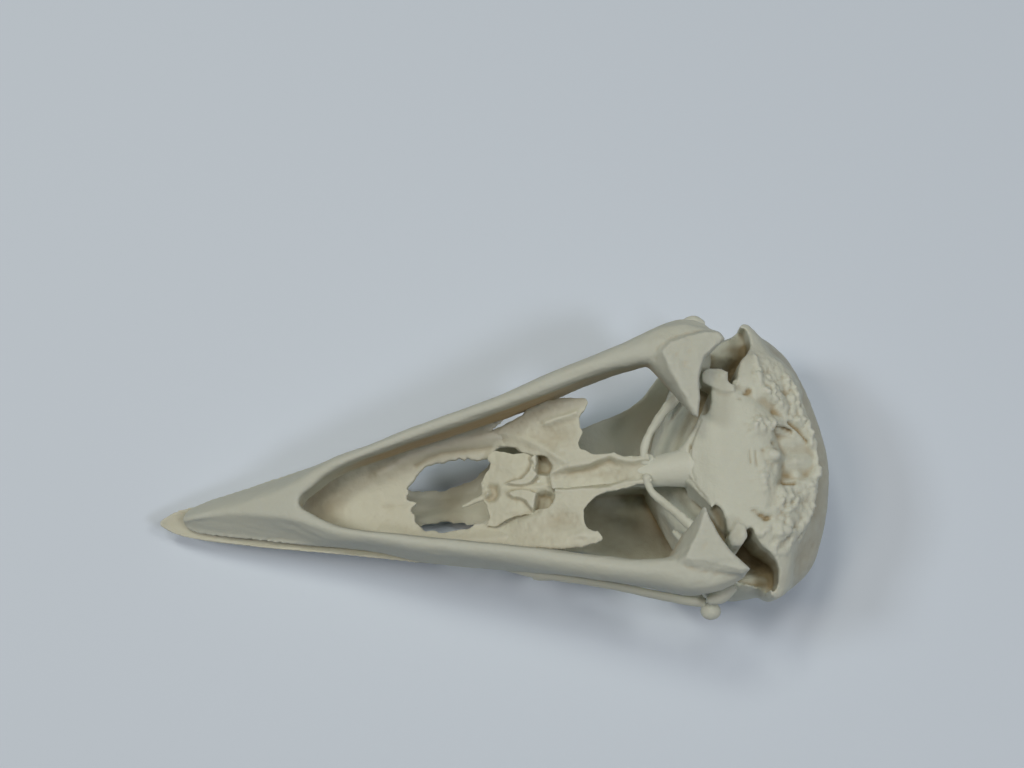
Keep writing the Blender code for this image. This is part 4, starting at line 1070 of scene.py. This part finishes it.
for side, tag in ((1, "left"), (-1, "right")):
    jugal = tube("jugal", [(57.8, side * 12.7, 17.8), (62, side * 14.4, 18.9), (66, side * 15.5, 19.9),
                           (70.4, side * 16.6, 20.9), (75, side * 17.9, 22.0), (80, side * 19.5, 23.1),
                           (84.4, side * 20.8, 23.9), (88.0, side * 21.6, 24.4)],
                 (1.0, 0.8, 0.7, 0.66, 0.66, 0.68, 0.72, 0.8))
    splint = ellipsoid("splint", (66.0, side * 15.3, 19.6), (4.4, 0.6, 1.0), lean=-13)
    jugal = fine_bone(combined(jugal, [splint], "UNION"), 0.22, 2, plain_relief)
    set_in_skull(jugal, "jugal_bone_" + tag, slim_bone, "jugal_" + tag)


# The lower jaw
# One bone: two long sides that join in a solid point under the bill tip, each ending behind in
# a thick joint block with a flat three-cornered face, an inner point and a hind point.

# Along the jaw: depth under the gape line, half widths of the keel, of the foot, of the inner
# wall and of the crest, and the height of the wall's edge over the gape line
JAW_DEPTH = through((4.3, 1.9), (6, 3.1), (10, 4.2), (20, 6.0), (30, 7.2), (45, 8.6), (60, 9.6),
                    (75, 10.4), (83, 10.4), (87, 9.6), (90, 8.6), (93.2, 7.4))
JAW_KEEL_WIDTH = through((4.3, 1.0), (5.1, 1.7), (8.7, 2.8), (15, 4.0), (21, 5.1), (30, 6.8), (36, 7.9),
                         (41, 9.2), (45, 10.2), (50, 11.3), (58, 13.2), (62, 14.4), (66, 15.7),
                         (70, 16.8), (74, 17.8), (79, 18.9), (85, 20.4), (87.5, 20.4), (90, 19.7),
                         (93.2, 18.6))
JAW_EDGE_WIDTH = through((4.3, 1.1), (5.1, 1.8), (8.7, 3.0), (15, 4.3), (21, 5.6), (30, 7.3), (36, 8.5),
                         (41, 9.8), (47, 11.3), (52, 12.3), (58.8, 13.5), (66, 15.0), (70, 15.8),
                         (74, 17.0), (79, 18.8), (83, 20.4), (86, 21.3), (88, 21.3), (90, 20.6),
                         (93.2, 18.8))
JAW_INNER = through((4.3, -0.5), (24.5, -0.5), (24.9, 0.1), (25.3, 0.8), (26.0, 1.4), (27.1, 2.05),
                    (28.5, 3.0), (30.4, 4.05), (33.9, 5.3), (40.5, 6.8), (45, 7.8), (50, 8.8),
                    (57, 10.3), (65, 12.1), (72, 13.8), (77, 14.7), (82, 15.0), (86, 15.4), (88, 16.0),
                    (93.2, 17.4))
JAW_CREST = through((4.3, 0.0), (10, 0.2), (16, 0.9), (20, 1.7), (24, 2.8), (27, 4.0), (30, 5.0),
                    (36, 6.6), (45, 8.9), (60, 12.1), (70, 14.9), (75, 16.0), (83, 17.3), (93.2, 17.9))
JAW_UPPER_EDGE = through((4.3, 0.3), (56, 0.3), (70, -1.2), (78, 0.6), (84, 4.0), (88, 6.4),
                         (93.2, 6.2))


def ramus_rings(s, side):
    """Section of one jaw side: a wall from the gape up to the keel, leaning outwards. The keel's
    outer flank runs from its crest as (cos a, sin a)^p: flat in front, rounder further back. The
    two sides bulge a little differently."""
    edge, keel = gape(s) + JAW_UPPER_EDGE(s), gape(s) + JAW_DEPTH(s)
    outer, inner, foot_out = JAW_KEEL_WIDTH(s), JAW_INNER(s), JAW_EDGE_WIDTH(s)
    if side > 0:
        outer = outer + 0.5 * ramp(s, 74.0, 80.0)
        foot_out = foot_out + 1.1 * ramp(s, 74.0, 80.0) * ramp(-s, -93.0, -90.0)
    else:
        bulge = ramp(s, 36.0, 44.0) * ramp(-s, -68.0, -60.0)
        outer, foot_out = outer + 0.3 * bulge, foot_out + 0.5 * bulge
    open_part = ramp(s, 22.0, 34.0)
    crest, power = JAW_CREST(s), 1.6 if side > 0 else 2.1
    power = power + (1.0 - power) * open_part
    drop_out = (0.95 - 0.65 * open_part) * (keel - edge) + 0.3 * open_part
    drop_in = 1.2 * open_part
    foot_in = np.minimum(inner + 0.8 * np.clip((s - 60) / 12, 0, 1), foot_out - 1.7)
    foot_in = np.where(s < 26, inner, foot_in)
    ring = [(foot_out, edge), (foot_out, edge + 0.7 - 0.6 * open_part)]
    for a in np.linspace(0, 1, 9)[:-1] * np.pi / 2:
        ring.append((crest + (outer - crest) * np.cos(a) ** power,
                     keel - drop_out * (1 - np.sin(a) ** power)))
    ring += [(crest, keel), (inner + (crest - inner) * 0.35, keel - drop_in * 0.2),
             (inner, keel - drop_in), (foot_in, edge)]
    return np.stack([np.stack([s, side * y, z], 1) for y, z in ring], 1)


# Joint blocks, left and right: (height, plan outline), up to the flat face and its bevelled rim.
# The lower ones on the right follow the left, with the inner point of the second held back.
JOINT_LEFT = [
    (27.6, [(82.0, 18.0), (83.2, 15.8), (85.2, 14.2), (87.0, 12.8), (87.8, 12.4), (88.6, 13.0), (89.2, 14.4),
            (90.0, 16.0), (91.0, 17.6), (90.8, 18.8), (89.6, 19.4), (87, 19.6), (84, 19.4)]),
    (30.5, [(80.6, 17.6), (81.9, 14.8), (84.4, 11.6), (86.9, 8.4), (88.0, 8.0), (88.6, 10.4), (88.8, 12.8),
            (90.2, 15.2), (92.4, 17.4), (92.0, 19.2), (89.8, 20.2), (86.5, 20.5), (83, 19.9)]),
    (33.0, [(81.4, 17.2), (82.8, 13.9), (85.0, 10.4), (87.2, 6.7), (88.2, 5.9), (88.8, 9.0), (89.0, 12.0),
            (90.4, 14.9), (93.3, 17.4), (93.0, 19.0), (90.3, 19.8), (86.8, 19.7), (83.6, 19.0)]),
    (35.2, [(83.5, 16.2), (84.2, 13.5), (85.8, 9.8), (87.5, 5.9), (88.3, 5.4), (88.9, 8.3), (89.1, 11.6),
            (90.3, 14.6), (93.8, 17.4), (93.0, 18.6), (90.7, 18.9), (88.0, 18.4), (85.0, 17.7)]),
    (35.9, [(83.9, 16.0), (84.6, 13.6), (86.1, 10.1), (87.7, 6.5), (88.2, 6.2), (88.6, 8.6), (88.8, 11.8),
            (90.0, 14.8), (93.2, 17.4), (92.6, 18.3), (90.6, 18.5), (88.1, 18.0), (85.3, 17.3)]),
]
JOINT_RIGHT = [
    (27.6, JOINT_LEFT[0][1]),
    (30.5, [(s, max(y, 9.6)) for s, y in JOINT_LEFT[1][1]]),
    (33.0, [(81.6, 16.8), (83.0, 14.6), (85.2, 11.4), (87.0, 8.9), (87.9, 8.2), (88.6, 10.4), (89.5, 13.0),
            (91.0, 15.2), (93.5, 17.9), (93.0, 18.9), (90.4, 19.2), (87.0, 18.7), (83.6, 18.0)]),
    (35.2, [(83.8, 15.9), (84.8, 14.0), (86.2, 11.8), (87.3, 8.9), (87.9, 7.9), (88.5, 10.0), (89.5, 12.5),
            (90.8, 14.7), (93.8, 18.1), (92.3, 18.6), (89.9, 18.0), (87.2, 17.3), (85.1, 16.8)]),
    (35.9, [(84.3, 15.6), (85.2, 14.0), (86.5, 11.9), (87.6, 9.4), (87.9, 8.8), (88.3, 10.2), (89.3, 12.7),
            (90.5, 14.9), (93.0, 17.8), (92.0, 18.0), (89.9, 17.2), (87.3, 16.4), (85.4, 15.9)]),
]


def joint_rings(levels, side):
    """Joint block: plan outlines at five heights, each with 65 points spread along its edges."""
    around, rings = 65, []
    for z, outline in levels:
        closed = np.array(outline + outline[:1], float)
        t = np.linspace(0, len(outline), around, endpoint=False)
        flat = np.stack([np.interp(t, np.arange(len(closed)), closed[:, k]) for k in range(2)], 1)
        rings.append(np.stack([flat[:, 0], side * flat[:, 1], np.full(around, z)], 1))
    return np.stack(rings)


def build_mandible():
    """Both long sides and both joint blocks as one body, with a slit in the outside of each."""
    s = np.concatenate([np.linspace(4.3, 24.0, 20), np.linspace(24.5, 34.0, 24),
                        np.linspace(35.0, 93.2, 56)])
    left, right = (loft("jaw side", ramus_rings(s, side)) for side in (1, -1))
    joints = [loft("joint block", joint_rings(levels, side))
              for levels, side in ((JOINT_LEFT, 1), (JOINT_RIGHT, -1))]
    jaw = combined(left, [right] + joints, "UNION")
    slits = [ellipsoid("slit", (79.0, side * 19.4, 27.6), (2.0, 1.2, 0.6), lean=-13) for side in (1, -1)]
    return combined(jaw, slits, "DIFFERENCE")


def mandible_blend(points):
    """Wide fillets where each side swells into its joint block, but not on the flat face, and a
    soft ridge and foot in front."""
    s, y, z = points.T
    ridge = 0.2 * ramp(-s, -36.0, -26.0) * ramp(z - gape(s), 1.6, 2.6) * ramp(s, 7.0, 12.0)
    foot = 0.16 * ramp(np.abs(y) - JAW_EDGE_WIDTH(s), -1.0, -0.2) * ramp(gape(s) - z, -1.5, -0.9)
    swelling = 0.6 * ramp(s, 74.0, 79.0) * ramp(-z, -34.2, -33.2) * ramp(-s, -91.0, -88.0)
    return ridge + foot * ramp(-s, -70.0, -60.0) + swelling


def mandible_relief(points, normals):
    """Fine lengthwise grooves towards the tip and a rough skin on each flat joint face."""
    grooves = 0.06 * lumps(points, (6.0, 1.2, 1.2), 61) + 0.03 * lumps(points, (1.6, 0.6, 0.6), 62)
    face = ramp(points[:, 2], 33.8, 35.0) * ramp(normals[:, 2], 0.55, 0.85)
    return grooves + face * (0.12 * lumps(points, 1.0, 63) + 0.09 * lumps(points, 0.5, 64))


def mandible_shade(points):
    """Painted shade in warm brown on the inner walls, strongest beside the palate."""
    s, y, z = points.T
    inside = ramp(JAW_INNER(s) + 1.3 - np.abs(y), 0.0, 0.8)
    deep = ramp(gape(s) + JAW_DEPTH(s) - z, 1.0, 3.5)
    along = ramp(s, 27.0, 40.0) * (1.0 - 0.45 * ramp(s, 60.0, 76.0)) * ramp(-s, -88.0, -84.0)
    return 0.9 * inside * deep * along


mandible = fine_bone(build_mandible(), 0.28, 3, mandible_relief, mandible_blend, painted_light_and_shade=mandible_shade)
# The jaw's painted shade in hollows is a lighter, more orange brown
jaw_bone = bone_material("jaw_bone", (0.56, 0.57, 0.485, 1), pores=0.7, painted_shade=(0.50, 0.38, 0.22, 1))
set_in_skull(mandible, "mandible_bone", jaw_bone, "mandible")


# The table, the light and the camera
# A pale matt table top 3 m wide, six soft square lights round and above the skull, a dim even
# light from the room, and the camera almost straight above.

TABLE_CORNERS = [(-1500, -1500, 0), (1600, -1500, 0), (1600, 1500, 0), (-1500, 1500, 0)]
floor = solid("table_top", TABLE_CORNERS, [[0, 1, 2, 3]])
table_paint = bpy.data.materials.new("table_paint")
table_paint.use_nodes = True
table_shader = table_paint.node_tree.nodes["Principled BSDF"]
table_shader.inputs["Base Color"].default_value = (0.70, 0.77, 0.86, 1)
table_shader.inputs["Roughness"].default_value = 0.6
floor.data.materials.append(table_paint)


LIGHT_DISTANCE = 1.2
LIGHT_SIDE = 0.21


def soft_light(name, around, above, power, colour):
    """Square area light that faces the skull, at angles in degrees round it and above the table:
    place = distance·(cos around cos above, sin around cos above, sin above)."""
    turn, rise = math.radians(around), math.radians(above)
    lamp = bpy.data.lights.new(name, "AREA")
    lamp.size, lamp.energy, lamp.color = LIGHT_SIDE, power, colour
    obj = bpy.data.objects.new(name, lamp)
    obj.location = (LIGHT_DISTANCE * math.cos(turn) * math.cos(rise),
                    LIGHT_DISTANCE * math.sin(turn) * math.cos(rise), LIGHT_DISTANCE * math.sin(rise))
    obj.rotation_euler = (math.pi / 2 - rise, 0.0, turn + math.pi / 2)
    bpy.context.scene.collection.objects.link(obj)


# Name, degrees round from the hind end, degrees above the table, watts and colour
soft_light("bill_light", 180, 65, 1.4, (1.18, 1.0, 0.83))
soft_light("left_light", 170, 50, 2.3, (0.94, 1.0, 1.03))
soft_light("far_light", 120, 66, 1.75, (1.0, 1.0, 0.88))
soft_light("near_light", 330, 57, 2.0, (0.96, 1.0, 1.1))
soft_light("nape_light", 0, 62, 1.5, (1.02, 1.0, 0.95))
soft_light("high_light", 90, 80, 1.4, (0.98, 1.0, 0.97))

world = bpy.data.worlds.new("room")
bpy.context.scene.world = world
world.use_nodes = True
room_light = world.node_tree.nodes["Background"]
room_light.inputs["Color"].default_value = (0.80, 0.85, 0.92, 1)
room_light.inputs["Strength"].default_value = 0.02
bpy.context.scene.view_settings.view_transform = "Standard"

# Camera place in millimetres as (s, y, z), lens in millimetres and turns in radians
CAMERA_PLACE = np.array((56.59, -39.92, 255.62))
TILT, YAW = math.radians(13.47), math.radians(-4.29)
camera_data = bpy.data.cameras.new("camera")
camera_data.sensor_width = 36.0
camera_data.lens = 52.28
camera_data.clip_start = 0.01
camera = bpy.data.objects.new("camera", camera_data)
camera.location = (CAMERA_PLACE - (HALF_LENGTH, 0.0, 0.0)) * MM
camera.rotation_euler = (TILT, 0.0, YAW)
bpy.context.scene.collection.objects.link(camera)
bpy.context.scene.camera = camera
